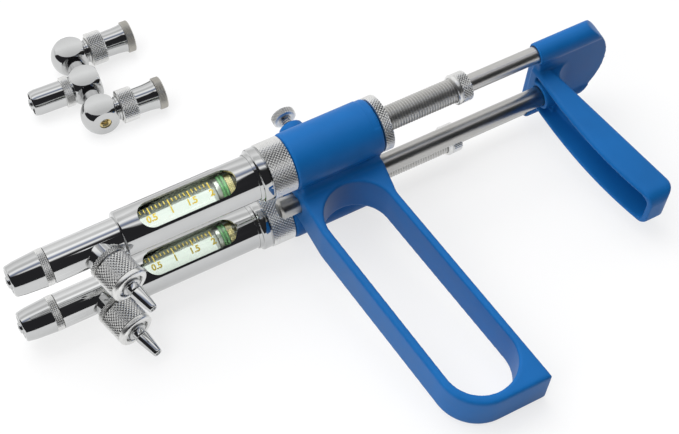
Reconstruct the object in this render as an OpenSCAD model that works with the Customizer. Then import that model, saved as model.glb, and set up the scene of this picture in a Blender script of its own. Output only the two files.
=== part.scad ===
// Twin barrel self filling veterinary syringe with its loose joining manifold.
// Design frame: x runs from the nozzles to the palm grip, -y is down the handle,
// z runs from the lower to the upper barrel. The origin of the design frame is
// midway between the barrels at the front face of the housing. The rest transform
// then lays the syringe on a table, on its lower barrel housing and handle end.

/* [Barrels] */
// Distance between the two barrel axes
barrel_gap = 32; // [30:1:40]
// Radius of the front body
front_r = 6.15; // [5.8:0.05:6.2]
// Visible length of the front body
front_body_len = 23.9; // [22:0.1:30]
// Outer radius of the window sleeve
sleeve_r = 7.7; // [7.6:0.1:8]
// Inner radius of the window sleeve
sleeve_bore_r = 6.3; // [6.25:0.05:6.5]
// Front wall of the window sleeve
sleeve_front_wall = 1.6; // [1.2:0.1:2]
// Radius of the sleeve's rear flange
sleeve_flange_r = 8.4; // [8.2:0.1:8.5]
// Thickness of the sleeve's rear flange
sleeve_flange_len = 1.9; // [1.5:0.1:2.2]
// Length of a window, round ends included
window_len = 32.9; // [20:0.1:36]
// Width of a window
window_w = 9.1; // [6:0.1:10]
// Distance from the housing to the rear end of a window
window_set = 17.8; // [16:0.1:20]
// Turn of the windows about the barrel, towards the handle
window_turn = 10.5; // [0:0.5:20]

/* [Glass and piston] */
// Outer radius of the glass cylinder
glass_r = 6.0; // [5.8:0.05:6.1]
// Bore radius of the glass cylinder
glass_bore_r = 4.8; // [4.6:0.05:4.9]
// Length of the glass cylinder
glass_len = 40.6; // [38:0.1:44]
// Thickness of the gasket at each end of the glass
gasket_t = 0.7; // [0.5:0.1:1]
// Full stroke of the pistons, two millilitres
stroke = 27; // [26:0.1:27]
// Distance from the housing to the piston's front face at rest
piston_set = 26.2; // [26:0.1:28]
// Length of the steel piston head
piston_head_len = 1.7; // [1.2:0.1:2]
// Length of the dark core that carries the rings
piston_core_len = 2.5; // [2:0.1:3]
// Length of the brass piston nut
piston_nut_len = 3; // [2:0.1:3.4]
// Radius of the brass piston nut
piston_nut_r = 4.3; // [4:0.1:4.5]
// Cord radius of a green sealing ring
ring_cord_r = 0.55; // [0.4:0.05:0.6]
// Radius of the piston rod
rod_r = 3; // [2.5:0.1:3]

/* [Nozzle] */
// Length of the nozzle from its rim to the knurled band
nozzle_len = 10.5; // [9.5:0.1:14]
// Outer radius of the nozzle rim
nozzle_rim_r = 5.1; // [4.8:0.1:5.6]
// Length of the knurled band
band_len = 2.6; // [2:0.1:4]
// Radius of the knurled band
band_r = 6.25; // [6.2:0.05:6.5]
// Length by which the luer cone stands out of the rim
luer_proud = 0.8; // [0.2:0.1:1.5]
// Radius of the luer cone at its end
luer_end_r = 1.97; // [1.9:0.01:2]
// Growth of the luer cone's radius per unit of length
luer_taper_share = 0.03; // [0.02:0.005:0.04]
// Inner radius of the thread skirt round the luer cone
luer_skirt_r = 4; // [3.9:0.05:4.1]
// Depth of the thread skirt
luer_skirt_depth = 5.8; // [4:0.1:6.5]
// Bore radius of the luer cone
luer_bore_r = 0.9; // [0.6:0.1:1.2]

/* [Valves] */
// Radius of the threaded spigot that joins nozzle and front body
spigot_r = 4.9; // [4.6:0.1:5]
// Length of the threaded spigot
spigot_len = 6; // [5:0.1:7]
// Radius of the outlet valve chamber
valve_room_r = 3.4; // [3.2:0.1:3.6]
// Radius of a valve disc
valve_disc_r = 2.6; // [2.4:0.1:2.8]
// Thickness of a valve disc
valve_disc_len = 1.2; // [0.8:0.1:1.5]
// Radius of a valve stem
valve_stem_r = 0.9; // [0.6:0.1:1]
// Length of a valve stem
valve_stem_len = 2.4; // [2:0.1:3]
// Radius of the fluid passage between the valves
passage_r = 1.1; // [0.8:0.1:1.5]
// Radius of the fluid passage from an inlet
inlet_passage_r = 0.9; // [0.6:0.1:1]
// Coil radius of a valve spring
valve_coil_r = 1.9; // [1.6:0.1:2]
// Wire radius of a valve spring
valve_wire_r = 0.22; // [0.18:0.02:0.25]

/* [Inlets] */
// Distance from the housing to an inlet's axis, on the barrel axis
inlet_set = 68.6; // [66:0.1:72]
// Lean of an inlet towards the grip
inlet_lean = 15; // [0:1:20]
// Radius of the threaded inlet branch
branch_r = 5.4; // [5.2:0.1:5.5]
// Length of the branch from the barrel axis
branch_len = 15; // [14:0.1:17]
// Distance from the barrel axis to the knurled ring
ring_set = 6.9; // [6.6:0.1:7.5]
// Length of the knurled ring
ring_len = 1.7; // [1.2:0.1:2]
// Outer radius of the knurled ring and of the union nut
union_r = 6.5; // [6.2:0.1:7]
// Distance from the barrel axis to the union nut
union_set = 9; // [8.8:0.1:9.4]
// End wall of the union nut
union_wall = 1.1; // [0.9:0.1:1.4]
// Radius of the nipple's collar in the nut's end
nipple_collar_r = 4.2; // [3.8:0.1:4.4]
// Radius of the nipple's second collar
nipple_step_r = 3.2; // [2.8:0.1:3.6]
// Length of each collar outside the nut
nipple_step_len = 1.1; // [0.8:0.1:1.4]
// Radius of the nipple's straight land
nipple_r = 2.25; // [2:0.05:2.5]
// Length of the nipple's straight land
nipple_land_len = 2; // [1.5:0.1:3]
// Length of the nipple's cone
nipple_cone_len = 8.2; // [6:0.1:10]
// Radius at the nipple's tip
nipple_tip_r = 1.5; // [1.2:0.05:1.7]
// Bore radius of the nipple
nipple_bore_r = 0.9; // [0.6:0.05:1]

/* [Collar nut and adapter] */
// Length of the knurled collar nut
collar_len = 12.9; // [12.5:0.1:15]
// Radius of the collar nut's knurled part
collar_r = 9.6; // [9.4:0.05:9.7]
// Radius of the collar nut's polished part
collar_polished_r = 9.2; // [9:0.05:9.4]
// Length of the collar nut's knurled part
collar_knurl_len = 6.8; // [5:0.1:8]
// Lip of the collar nut in front of the sleeve's flange
collar_lip_len = 2.4; // [2:0.1:3]
// Radius of the adapter's thread in the collar nut
adapter_r = 8.4; // [8.2:0.05:8.5]
// Length of the adapter's nose inside the sleeve
adapter_nose_len = 5.5; // [5.2:0.1:6]
// Radius of the adapter's nose
adapter_nose_r = 6.2; // [6.1:0.05:6.2]
// Front wall of the adapter, where the rod passes
adapter_wall = 1.5; // [1.2:0.1:1.6]
// Radius of the adapter's tail in the housing
adapter_tail_r = 7.5; // [7.2:0.1:7.6]
// Length of the adapter's tail
adapter_tail_len = 12; // [8:0.5:14]

/* [Return springs] */
// Coil radius of a return spring
coil_r = 4.6; // [4.2:0.1:4.6]
// Wire radius of a return spring
wire_r = 0.45; // [0.35:0.05:0.5]
// Turns of a return spring
coil_turns = 8; // [6:1:8]
// Length of a return spring with the pistons at rest
coil_len = 35.2; // [34.6:0.1:35.4]
// Radius of the seat that holds the spring on the rod
seat_r = 5.5; // [5.3:0.1:5.6]
// Thickness of the spring seat
seat_len = 1.6; // [1.2:0.1:1.8]

/* [Housing] */
// Radius of each barrel housing
housing_r = 9.8; // [9.8:0.1:11]
// Length of the barrel housings
housing_len = 31.8; // [31:0.1:36]
// Rear wall of a barrel housing, threaded for the dose sleeve
housing_wall = 2.3; // [2:0.1:3]
// Radius of the spring room in a barrel housing
spring_room_r = 5.9; // [5.8:0.1:6.2]
// Length of the stepped rim at the rear
rim_len = 3; // [2:0.1:4]
// Step of the rim below the housing radius
rim_step = 0.2; // [0.1:0.05:0.3]
// Height of the web between the housings above the barrel axes
web_top = 6; // [5:0.5:8]
// Radius of the lock screw's boss
boss_r = 4.5; // [3.5:0.1:5]
// Height of the lock screw's boss above the barrel axes
boss_h = 20.5; // [14:0.5:24]
// Distance from the housing's front face to the lock screw
screw_set = 12.4; // [8:0.1:20]

/* [Handle] */
// Thickness of the handle loop
handle_t = 16.4; // [14:0.1:18]
// Wall of the handle loop
handle_wall = 2.7; // [2.2:0.1:4]
// Extra wall at the lower end of the handle loop
handle_end_wall = 0.7; // [0:0.1:2]
// Radius of the finger opening's upper end
loop_top_r = 12.1; // [11:0.1:13]
// Radius of the finger opening's lower end
loop_end_r = 12.5; // [11:0.1:14]
// Distance from the housing's front face to the upper end's centre
loop_top_x = 15.3; // [15:0.1:16]
// Distance from the barrel axes to the upper end's centre
loop_top_drop = 23.8; // [23.7:0.1:26]
// Distance from the upper to the lower end's centre, down the handle
loop_len = 62.3; // [50:0.1:70]
// Lean of the handle towards the grip
handle_lean = 7.2; // [4:0.1:10]

/* [Lock screw] */
// Radius of the lock screw's stud
stud_r = 2; // [1.5:0.1:2.5]
// Length by which the stud stands off the guide rod when open
stud_open = 1; // [0.6:0.1:1.5]
// Radius of the lock screw's knurled head
screw_head_r = 4.3; // [4:0.1:5]
// Length of the lock screw's knurled head
screw_head_len = 2.9; // [2.6:0.1:4]
// Gap between the boss and the head when open
screw_head_gap = 3.1; // [2:0.1:4]

/* [Dose screws] */
// Radius of the threaded dose sleeve
dose_r = 4.3; // [4.1:0.05:4.3]
// Bore radius of the dose sleeve
dose_bore_r = 3.3; // [3.2:0.05:3.4]
// Visible length of the dose sleeve behind the lock disc
dose_len = 27; // [26:0.1:27.6]
// Distance from the housing's rear face to the sleeve's front end, inwards
dose_inset = 1.4; // [1:0.1:1.6]
// Radius of the dose knob
knob_r = 5.4; // [5.2:0.1:6]
// Length of the dose knob
knob_len = 5.7; // [5:0.1:5.8]
// Depth of the sleeve's seat in the knob
knob_seat = 3.2; // [2:0.1:4]
// Radius of the lock disc
disc_r = 9.7; // [9:0.1:9.7]
// Thickness of the lock disc
disc_len = 3.5; // [2.5:0.1:4]

/* [Guide rod and palm grip] */
// Radius of the guide rod
guide_r = 3.5; // [3:0.1:3.5]
// Distance of the guide rod's axis below the barrel axes
guide_drop = 6.85; // [6.5:0.05:7]
// Length by which the guide rod stands out of the housing's front
guide_proud = 6; // [3:0.5:10]
// Depth of the guide rod in the grip
guide_depth = 5; // [4:0.5:5.5]
// Depth of the piston rods in the grip
rod_depth = 20; // [12:1:22]
// Radius of the grip's rod bosses
grip_boss_r = 4; // [3.9:0.1:5]
// Thickness of the grip's web
grip_web_t = 6.4; // [5:0.1:8]
// Radius of the grip's palm edge
palm_r = 26.5; // [23:0.1:30]
// Distance from the grip's front to its palm edge
palm_len = 30; // [29:0.1:34]
// Width of the grip's arm
arm_w = 17.2; // [16:0.1:20]
// Length of the arm below the rods' plane
arm_len = 64; // [50:0.5:70]
// Depth of the arm at its top
arm_top_d = 6; // [5.8:0.1:9]
// Depth of the arm at its end
arm_end_d = 9.6; // [9:0.1:12]
// Sweep of the arm's front face towards its end
arm_sweep = 8; // [4:0.1:12]
// Power of the arm's sweep along its length
arm_power_share = 2.4; // [1.5:0.1:3]
// Wall of the arm round its trough
arm_wall = 2; // [1.6:0.1:2.4]
// Radius of the arm's rounded end
arm_round_r = 5; // [3:0.5:6]
// Radius of the corners at the arm's end, seen from the front
arm_corner_r = 4.5; // [2:0.1:6]
// Radius of the fillet between arm and web
arm_fillet_r = 8; // [4:0.5:10]
// Radius of the guide rod's boss in the trough
guide_boss_r = 5; // [4.8:0.1:5.4]

/* [Manifold] */
// Distance between neighbouring blocks
block_gap = 16.2; // [16:0.1:20]
// Radius of a ball block before its flats
ball_r = 7.4; // [7:0.1:7.6]
// Distance from a ball block's centre to its flats
flat_d = 5.2; // [5:0.1:5.6]
// Radius of the necks between the blocks
neck_r = 3.6; // [3:0.1:4]
// Radius of the knurled gland nuts
gland_r = 6.3; // [6.2:0.1:6.6]
// Distance from a block's centre to its gland nut
gland_set = 6.9; // [6.6:0.1:7.5]
// Length of a gland nut
gland_len = 6.2; // [5:0.1:7]
// Radius of the socket tubes
tube_r = 4.9; // [4.7:0.1:5.2]
// Distance from a block's centre to the end of its socket
socket_reach = 24.2; // [22:0.1:26]
// Radius of a socket tube where it widens to its rim
socket_flare_r = 5.6; // [5:0.1:5.8]
// Radius of a socket's knurled rim
socket_rim_r = 6.1; // [5.9:0.1:6.2]
// Length of a socket's knurled rim
socket_rim_len = 2.4; // [2:0.1:3]
// Radius of a socket's threaded bore
socket_bore_r = 4; // [3.8:0.05:4.1]
// Depth of a socket's threaded bore
socket_depth = 6; // [5:0.1:7]
// Radius of the outlet's knurled ring
outlet_ring_r = 5.8; // [5.5:0.1:6.2]
// Length of the outlet's knurled ring
outlet_ring_len = 3.4; // [2.5:0.1:4]
// Distance from the middle block's centre to the outlet's rim
outlet_reach = 21; // [19:0.1:24]
// Radius of the brass plug in the end block
plug_r = 2.2; // [1.8:0.1:2.6]
// Depth of the brass plug
plug_len = 2.4; // [1.5:0.1:3]
// Place of the middle block from the design origin, along the barrels
manifold_x = -35; // [-60:1:0]
// Place of the middle block from the design origin, across the barrels
manifold_y = 95; // [80:1:120]
// Turn of the manifold on the table
manifold_turn = -3; // [-20:1:20]

/* [Fits] */
// Radial clearance of a sliding or turning fit
run_gap = 0.06; // [0.03:0.01:0.1]
// Clearance between faces that lie against each other
face_gap = 0.05; // [0.02:0.01:0.1]
// Clearance between faces that move past each other
move_gap = 0.3; // [0.2:0.05:0.4]
// Small edge chamfer
edge = 0.4; // [0.2:0.05:0.5]
// Overrun of cuts past a face
over = 1; // [0.5:0.5:2]

/* [Hidden] */
$fn = 64;
coil_rings = 8;
coil_sides = 6;
valve_turns = 4;
arm_steps = 12;
loop_steps = 32;
UP = 1;
DOWN = -1;

// Stations along a barrel, from the housing forwards
collar_rear = -move_gap / 3;
collar_front = collar_rear - collar_len;
flange_front = collar_front + collar_lip_len + face_gap;
flange_rear = flange_front + sleeve_flange_len;
adapter_front = flange_rear + face_gap;
nose_front = adapter_front - adapter_nose_len;
glass_rear = nose_front - gasket_t - 2 * face_gap;
glass_front = glass_rear - glass_len;
body_rear = glass_front - gasket_t - 2 * face_gap;
tail_flange_len = sleeve_front_wall;
sleeve_front = body_rear - tail_flange_len - face_gap - sleeve_front_wall;
body_front = sleeve_front - front_body_len;
band_front = body_front - band_len;
nozzle_front = band_front - nozzle_len;
luer_front = nozzle_front - luer_proud;
skirt_floor = nozzle_front + luer_skirt_depth;
spigot_rear = body_front + spigot_len;
outlet_seat = spigot_rear + face_gap;
valve_room_front = skirt_floor + luer_skirt_depth / 3;

// Stations behind the housing's front face
disc_front = housing_len + move_gap;
disc_rear = disc_front + disc_len;
knob_front = disc_rear + dose_len;
knob_rear = knob_front + knob_len;
dose_front = housing_len - dose_inset;
dose_rear = knob_front + knob_seat;
grip_set = knob_rear + stroke + move_gap;
spring_front = nose_front + adapter_wall + face_gap;
seat_front = spring_front + coil_len + face_gap;
piston_front = -piston_set;
core_front = piston_front + piston_head_len;
nut_front = core_front + piston_core_len;
nut_rear = nut_front + piston_nut_len;
rod_rear = grip_set + rod_depth;
guide_rear = grip_set + guide_depth;

// Stations along an inlet, from the barrel axis outwards
nipple_seat = branch_len + face_gap;
nipple_flange_len = union_wall;
union_rear = nipple_seat + nipple_flange_len + face_gap + union_wall;
collar_end = union_rear + nipple_step_len;
step_end = collar_end + nipple_step_len;
land_end = step_end + nipple_land_len;
tip_end = land_end + nipple_cone_len;
inlet_room = ring_set + ring_len;

// Radii that follow a neighbour
piston_r = glass_bore_r - run_gap;
core_r = piston_r - 2 * ring_cord_r - face_gap;
thread_bore_r = adapter_r + run_gap;

// Handle loop
loop_top = [loop_top_x, -loop_top_drop];
loop_end = loop_top + loop_len * [tan(handle_lean), -1];
outer_end = loop_end + handle_end_wall * [tan(handle_lean), -1];
handle_end_y = outer_end[1] - loop_end_r - handle_wall;
handle_front_x = loop_top_x - loop_top_r - handle_wall;
outer_top_r = loop_top_r + handle_wall;
outer_end_r = loop_end_r + handle_wall;
rear_high = tangent(loop_top, outer_top_r, outer_end, outer_end_r, UP, false);
rear_low = tangent(loop_top, outer_top_r, outer_end, outer_end_r, UP, true);
loop_turn = handle_lean - 90;
loop_fan = acos((loop_top_r - loop_end_r) / norm(loop_end - loop_top));
loop_rear_turn = loop_turn + loop_fan;
loop_front_turn = loop_turn - loop_fan + 360;
corner_share = (handle_end_y - rear_low[1]) / (rear_low[1] - rear_high[1]);
handle_corner = rear_low + (rear_low - rear_high) * corner_share;

// Grip
palm_x = grip_set + palm_len - palm_r;
arm_y0 = -grip_web_t / 2;
arm_rise = arm_len + arm_y0;
function arm_front(t) = [grip_set + arm_sweep * pow(t, arm_power_share), arm_y0 - arm_rise * t];
function arm_depth(t) = arm_top_d + (arm_end_d - arm_top_d) * t;

// Tilt of the resting syringe, on its lower housing and handle end
rest_y = -handle_end_y;
rest_z = (barrel_gap - handle_t) / 2;
rest_tilt = atan2(rest_z, rest_y) + asin(housing_r / norm([rest_y, rest_z]));
floor_drop = barrel_gap / 2 * cos(rest_tilt) + housing_r;
manifold_h = gland_r;

// Middle of the whole set, seen from above
mid_x = (luer_front + grip_set + palm_len) / 2;
far_y = manifold_y + block_gap * cos(manifold_turn) + ball_r;
near_y = -(rest_y * cos(rest_tilt) + handle_t / 2 * sin(rest_tilt));
mid_y = (far_y + near_y) / 2;

blue = [0.13, 0.42, 0.74];
chrome = [0.82, 0.83, 0.85];
steel = [0.66, 0.67, 0.69];
brass = [0.78, 0.64, 0.3];
seal_green = [0.25, 0.55, 0.22];
dark = [0.12, 0.12, 0.13];

// Solid of revolution about the x axis, from points of station and radius
module turned(points) {
  rotate([0, 90, 0]) rotate_extrude() polygon([for (p = points) [p[1], p[0]]]);
}

// Round bar along x between two stations
module bar(x0, x1, r) {
  translate([x0, 0, 0]) rotate([0, 90, 0]) cylinder(h = x1 - x0, r = r);
}

// Point where the outer tangent of two circles leaves the second or the first one
function tangent(c1, r1, c2, r2, side, on_second) =
  let (
    run = c2 - c1,
    a = atan2(run[1], run[0]) + side * acos((r1 - r2) / norm(run)),
    c = on_second ? c2 : c1,
    r = on_second ? r2 : r1
  )
  c + r * [cos(a), sin(a)];

// Points of an arc about c, from angle a to angle b
function arc(c, r, a, b, steps) = [
  for (i = [0:steps])
    let (turn = a + (b - a) * i / steps)
    c + r * [cos(turn), sin(turn)]
];

// Flat outline round two circles and their outer tangents
module belt(c1, r1, c2, r2) {
  translate(c1) circle(r1);
  translate(c2) circle(r2);
  polygon([
    tangent(c1, r1, c2, r2, UP, false), tangent(c1, r1, c2, r2, UP, true),
    tangent(c1, r1, c2, r2, DOWN, true), tangent(c1, r1, c2, r2, DOWN, false)
  ]);
}

// Coil spring along x as one unbroken tube
module coil(x0, x1, turns, r, wire) {
  rings = turns * coil_rings;
  rise = x1 - x0 - 2 * wire;
  gap = rise / turns - 2 * wire;
  echo(str("coil clear gap ", gap));
  points = [
    for (i = [0:rings], j = [0:coil_sides - 1])
      let (a = 360 * i / coil_rings, b = 360 * j / coil_sides, q = r + wire * cos(b))
      [x0 + wire + rise * i / rings + wire * sin(b), q * cos(a), q * sin(a)]
  ];
  sides = [
    for (i = [0:rings - 1], j = [0:coil_sides - 1])
      let (k = (j + 1) % coil_sides, p = i * coil_sides, q = p + coil_sides)
      each [[p + j, q + j, q + k], [p + j, q + k, p + k]]
  ];
  start = [[for (j = [0:coil_sides - 1]) j]];
  finish = [[for (j = [coil_sides - 1:-1:0]) rings * coil_sides + j]];
  polyhedron(points, concat(sides, start, finish));
}

// Places a barrel part on the upper or the lower barrel
module barrel(side) {
  translate([0, 0, side * barrel_gap / 2]) children();
}

// Sets a part on the inlet of a barrel: its own x axis runs outwards along the branch
module branch() {
  translate([-inlet_set, 0, 0]) rotate([0, 0, inlet_lean - 90]) children();
}

// Places an inlet part on the upper or the lower barrel
module inlet(side) {
  barrel(side) branch() children();
}

// Lays the syringe on the table with the set's middle at the origin
module rest() {
  translate([-mid_x, -mid_y, floor_drop]) rotate([rest_tilt, 0, 0]) children();
}

// Places a manifold part: its own x axis runs along a socket
module table(row) {
  translate([manifold_x - mid_x, manifold_y - mid_y, manifold_h])
    rotate([0, 0, manifold_turn]) translate([0, row * block_gap, 0]) children();
}

// Luer cone inside a thread skirt, from its rim at rim_x to the floor at floor_x
module luer_cone(rim_x, floor_x) {
  tip_x = rim_x - luer_proud;
  root_r = luer_end_r + luer_taper_share * (floor_x - tip_x);
  turned([[tip_x, 0], [tip_x, luer_end_r], [floor_x + over, root_r], [floor_x + over, 0]]);
}

module nozzle() {
  color(chrome) difference() {
    union() {
      difference() {
        turned([
          [nozzle_front, 0], [nozzle_front, nozzle_rim_r - edge], [nozzle_front + edge, nozzle_rim_r],
          [band_front - edge, front_r], [band_front, front_r], [band_front, band_r - edge / 2],
          [band_front + edge / 2, band_r], [body_front - edge / 2, band_r],
          [body_front - face_gap, band_r - edge / 2], [body_front - face_gap, spigot_r],
          [spigot_rear, spigot_r], [spigot_rear, 0]
        ]);
        bar(nozzle_front - over, skirt_floor, luer_skirt_r);
      }
      luer_cone(nozzle_front, skirt_floor);
    }
    bar(luer_front - over, spigot_rear, luer_bore_r);
    bar(valve_room_front, spigot_rear + over, valve_room_r);
  }
}

module outlet_valve() {
  disc_x = outlet_seat - face_gap;
  color(dark) turned([
    [disc_x - valve_disc_len - valve_stem_len, 0], [disc_x - valve_disc_len - valve_stem_len, valve_stem_r],
    [disc_x - valve_disc_len, valve_stem_r], [disc_x - valve_disc_len, valve_disc_r],
    [disc_x, valve_disc_r], [disc_x, 0]
  ]);
}

module outlet_spring() {
  color(steel) coil(
    valve_room_front + face_gap, outlet_seat - valve_disc_len - 2 * face_gap,
    valve_turns, valve_coil_r, valve_wire_r
  );
}

module front_body(side) {
  color(chrome) barrel(side) difference() {
    union() {
      difference() {
        turned([
          [body_front, 0], [body_front, front_r - edge / 2], [body_front + edge / 2, front_r],
          [body_rear - tail_flange_len, front_r], [body_rear - tail_flange_len, sleeve_bore_r - run_gap],
          [body_rear, sleeve_bore_r - run_gap], [body_rear, 0]
        ]);
        // Flat seat milled round the branch for the knurled ring
        branch() bar(ring_set, branch_len, union_r + run_gap);
      }
      branch() bar(0, branch_len, branch_r);
    }
    bar(body_front - over, outlet_seat, spigot_r + run_gap);
    bar(outlet_seat - over, body_rear + over, passage_r);
    branch() {
      bar(0, branch_len, inlet_passage_r);
      bar(inlet_room, branch_len + over, valve_room_r);
    }
  }
}

module inlet_ring() {
  color(chrome) difference() {
    turned([
      [ring_set, 0], [ring_set, union_r - edge], [ring_set + edge, union_r],
      [ring_set + ring_len - edge, union_r], [ring_set + ring_len, union_r - edge], [ring_set + ring_len, 0]
    ]);
    bar(ring_set - over, ring_set + ring_len + over, branch_r + run_gap);
  }
}

module union_nut() {
  color(chrome) difference() {
    turned([
      [union_set, 0], [union_set, union_r - edge], [union_set + edge, union_r],
      [union_rear - 2 * edge, union_r], [union_rear, union_r - 2 * edge], [union_rear, 0]
    ]);
    bar(union_set - over, union_rear - union_wall, branch_r + run_gap);
    bar(union_set, union_rear + over, nipple_collar_r + run_gap);
  }
}

module hose_nipple() {
  color(chrome) difference() {
    turned([
      [nipple_seat, 0], [nipple_seat, branch_r - run_gap],
      [nipple_seat + nipple_flange_len, branch_r - run_gap],
      [nipple_seat + nipple_flange_len, nipple_collar_r],
      [collar_end, nipple_collar_r], [collar_end, nipple_step_r],
      [step_end, nipple_step_r], [step_end, nipple_r],
      [land_end, nipple_r], [tip_end - edge, nipple_tip_r],
      [tip_end, nipple_tip_r - edge / 2], [tip_end, 0]
    ]);
    bar(nipple_seat - over, tip_end + over, nipple_bore_r);
  }
}

module inlet_valve() {
  disc_x = nipple_seat - face_gap;
  color(dark) turned([
    [disc_x - valve_disc_len - valve_stem_len, 0], [disc_x - valve_disc_len - valve_stem_len, valve_stem_r],
    [disc_x - valve_disc_len, valve_stem_r], [disc_x - valve_disc_len, valve_disc_r],
    [disc_x, valve_disc_r], [disc_x, 0]
  ]);
}

module inlet_spring() {
  color(steel) coil(
    inlet_room + face_gap, nipple_seat - valve_disc_len - 2 * face_gap,
    valve_turns, valve_coil_r, valve_wire_r
  );
}

module window_sleeve() {
  slot_r = window_w / 2;
  rear_c = -window_set - slot_r;
  front_c = -window_set - window_len + slot_r;
  color(chrome) difference() {
    turned([
      [sleeve_front, 0], [sleeve_front, sleeve_r - edge], [sleeve_front + edge, sleeve_r],
      [flange_front, sleeve_r], [flange_front, sleeve_flange_r],
      [flange_rear, sleeve_flange_r], [flange_rear, 0]
    ]);
    bar(sleeve_front - over, sleeve_front + over + sleeve_front_wall, front_r + run_gap);
    bar(sleeve_front + sleeve_front_wall, flange_rear + over, sleeve_bore_r);
    rotate([window_turn, 0, 0]) linear_extrude(2 * (sleeve_r + over), center = true)
      belt([front_c, 0], slot_r, [rear_c, 0], slot_r);
  }
}

module glass_cylinder() {
  color([0.85, 0.92, 0.88, 0.5]) difference() {
    bar(glass_front, glass_rear, glass_r);
    bar(glass_front - over, glass_rear + over, glass_bore_r);
  }
}

module gasket(x0) {
  difference() {
    bar(x0, x0 + gasket_t, glass_r);
    bar(x0 - over, x0 + gasket_t + over, glass_bore_r);
  }
}

module glass_gaskets() {
  color(dark) for (side = [UP, DOWN]) barrel(side) {
    gasket(body_rear + face_gap);
    gasket(glass_rear + face_gap);
  }
}

module collar_nut() {
  knurl_front = collar_rear - collar_knurl_len;
  color(chrome) difference() {
    turned([
      [collar_front, 0], [collar_front, collar_polished_r - 2 * edge],
      [collar_front + 2 * edge, collar_polished_r], [knurl_front - 2 * edge, collar_polished_r],
      [knurl_front - edge, collar_polished_r - edge], [knurl_front, collar_r - edge / 2],
      [knurl_front + edge / 2, collar_r], [collar_rear - edge, collar_r],
      [collar_rear, collar_r - edge], [collar_rear, 0]
    ]);
    bar(collar_front - over, collar_rear, sleeve_r + run_gap);
    bar(flange_front - face_gap, collar_rear + over, thread_bore_r);
  }
}

module adapter() {
  color(steel) difference() {
    turned([
      [nose_front, 0], [nose_front, adapter_nose_r], [adapter_front, adapter_nose_r],
      [adapter_front, adapter_r], [-face_gap, adapter_r], [-face_gap, adapter_tail_r],
      [adapter_tail_len, adapter_tail_r], [adapter_tail_len, 0]
    ]);
    bar(nose_front - over, adapter_front, rod_r + run_gap);
    bar(nose_front + adapter_wall, adapter_tail_len + over, coil_r + wire_r + 2 * run_gap);
    bar(adapter_front, adapter_tail_len + over, spring_room_r);
  }
}

module piston_head() {
  color(steel) turned([
    [piston_front, 0], [piston_front, piston_r - edge], [piston_front + edge, piston_r],
    [core_front, piston_r], [core_front, core_r], [nut_front - face_gap, core_r], [nut_front - face_gap, 0]
  ]);
}

module piston_rings() {
  color(seal_green) for (n = [1, 2]) {
    ring_x = core_front + (2 * n - 1) * piston_core_len / 4;
    translate([ring_x, 0, 0]) rotate([0, 90, 0]) rotate_extrude()
      translate([piston_r - ring_cord_r, 0]) circle(ring_cord_r, $fn = 24);
  }
}

module piston_nut() {
  color(brass) difference() {
    turned([
      [nut_front, 0], [nut_front, piston_nut_r], [nut_rear - 2 * edge, piston_nut_r],
      [nut_rear, piston_nut_r - 2 * edge], [nut_rear, 0]
    ]);
    bar(nut_rear - piston_nut_len / 2, nut_rear + over, rod_r + face_gap);
  }
}

module piston_rod() {
  front = nut_rear - piston_nut_len / 2 + face_gap;
  color(steel) turned([
    [front, 0], [front, rod_r], [rod_rear, rod_r], [rod_rear, 0]
  ]);
}

module return_spring() {
  color(steel) coil(spring_front, spring_front + coil_len, coil_turns, coil_r, wire_r);
}

module spring_seat() {
  color(steel) difference() {
    bar(seat_front, seat_front + seat_len, seat_r);
    bar(seat_front - over, seat_front + seat_len + over, rod_r + face_gap);
  }
}

module dose_sleeve() {
  color(steel) difference() {
    turned([
      [dose_front, 0], [dose_front, dose_r - edge], [dose_front + edge, dose_r],
      [dose_rear, dose_r], [dose_rear, 0]
    ]);
    bar(dose_front - over, dose_rear + over, dose_bore_r);
  }
}

module dose_knob() {
  groove = knob_front + knob_len / 4;
  color(chrome) difference() {
    turned([
      [knob_front, 0], [knob_front, knob_r - edge], [knob_front + edge, knob_r],
      [groove - edge, knob_r], [groove, knob_r - 2 * edge], [groove + edge, knob_r - edge / 2],
      [knob_rear - edge, knob_r - edge / 2], [knob_rear, knob_r - 2 * edge], [knob_rear, 0]
    ]);
    bar(knob_front - over, dose_rear + face_gap, dose_r + run_gap);
    bar(knob_front, knob_rear + over, dose_bore_r);
  }
}

module lock_disc() {
  color(chrome) difference() {
    turned([
      [disc_front, 0], [disc_front, disc_r - edge], [disc_front + edge, disc_r],
      [disc_rear - edge, disc_r], [disc_rear, disc_r - edge], [disc_rear, 0]
    ]);
    bar(disc_front - over, disc_rear + over, dose_r + run_gap);
  }
}

// Side outline of the handle with its finger opening
module handle_outline() {
  difference() {
    polygon(concat(
      [[housing_len, 0], [handle_front_x, 0]],
      arc(loop_top, outer_top_r, 180, loop_front_turn, 2),
      arc(outer_end, outer_end_r, loop_front_turn, 270, loop_steps / 2),
      [handle_corner, rear_high, [housing_len, -housing_r]]
    ));
    polygon(concat(
      arc(loop_top, loop_top_r, loop_rear_turn, loop_front_turn, loop_steps),
      arc(loop_end, loop_end_r, loop_front_turn, loop_rear_turn + 360, loop_steps)
    ));
  }
}

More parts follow.
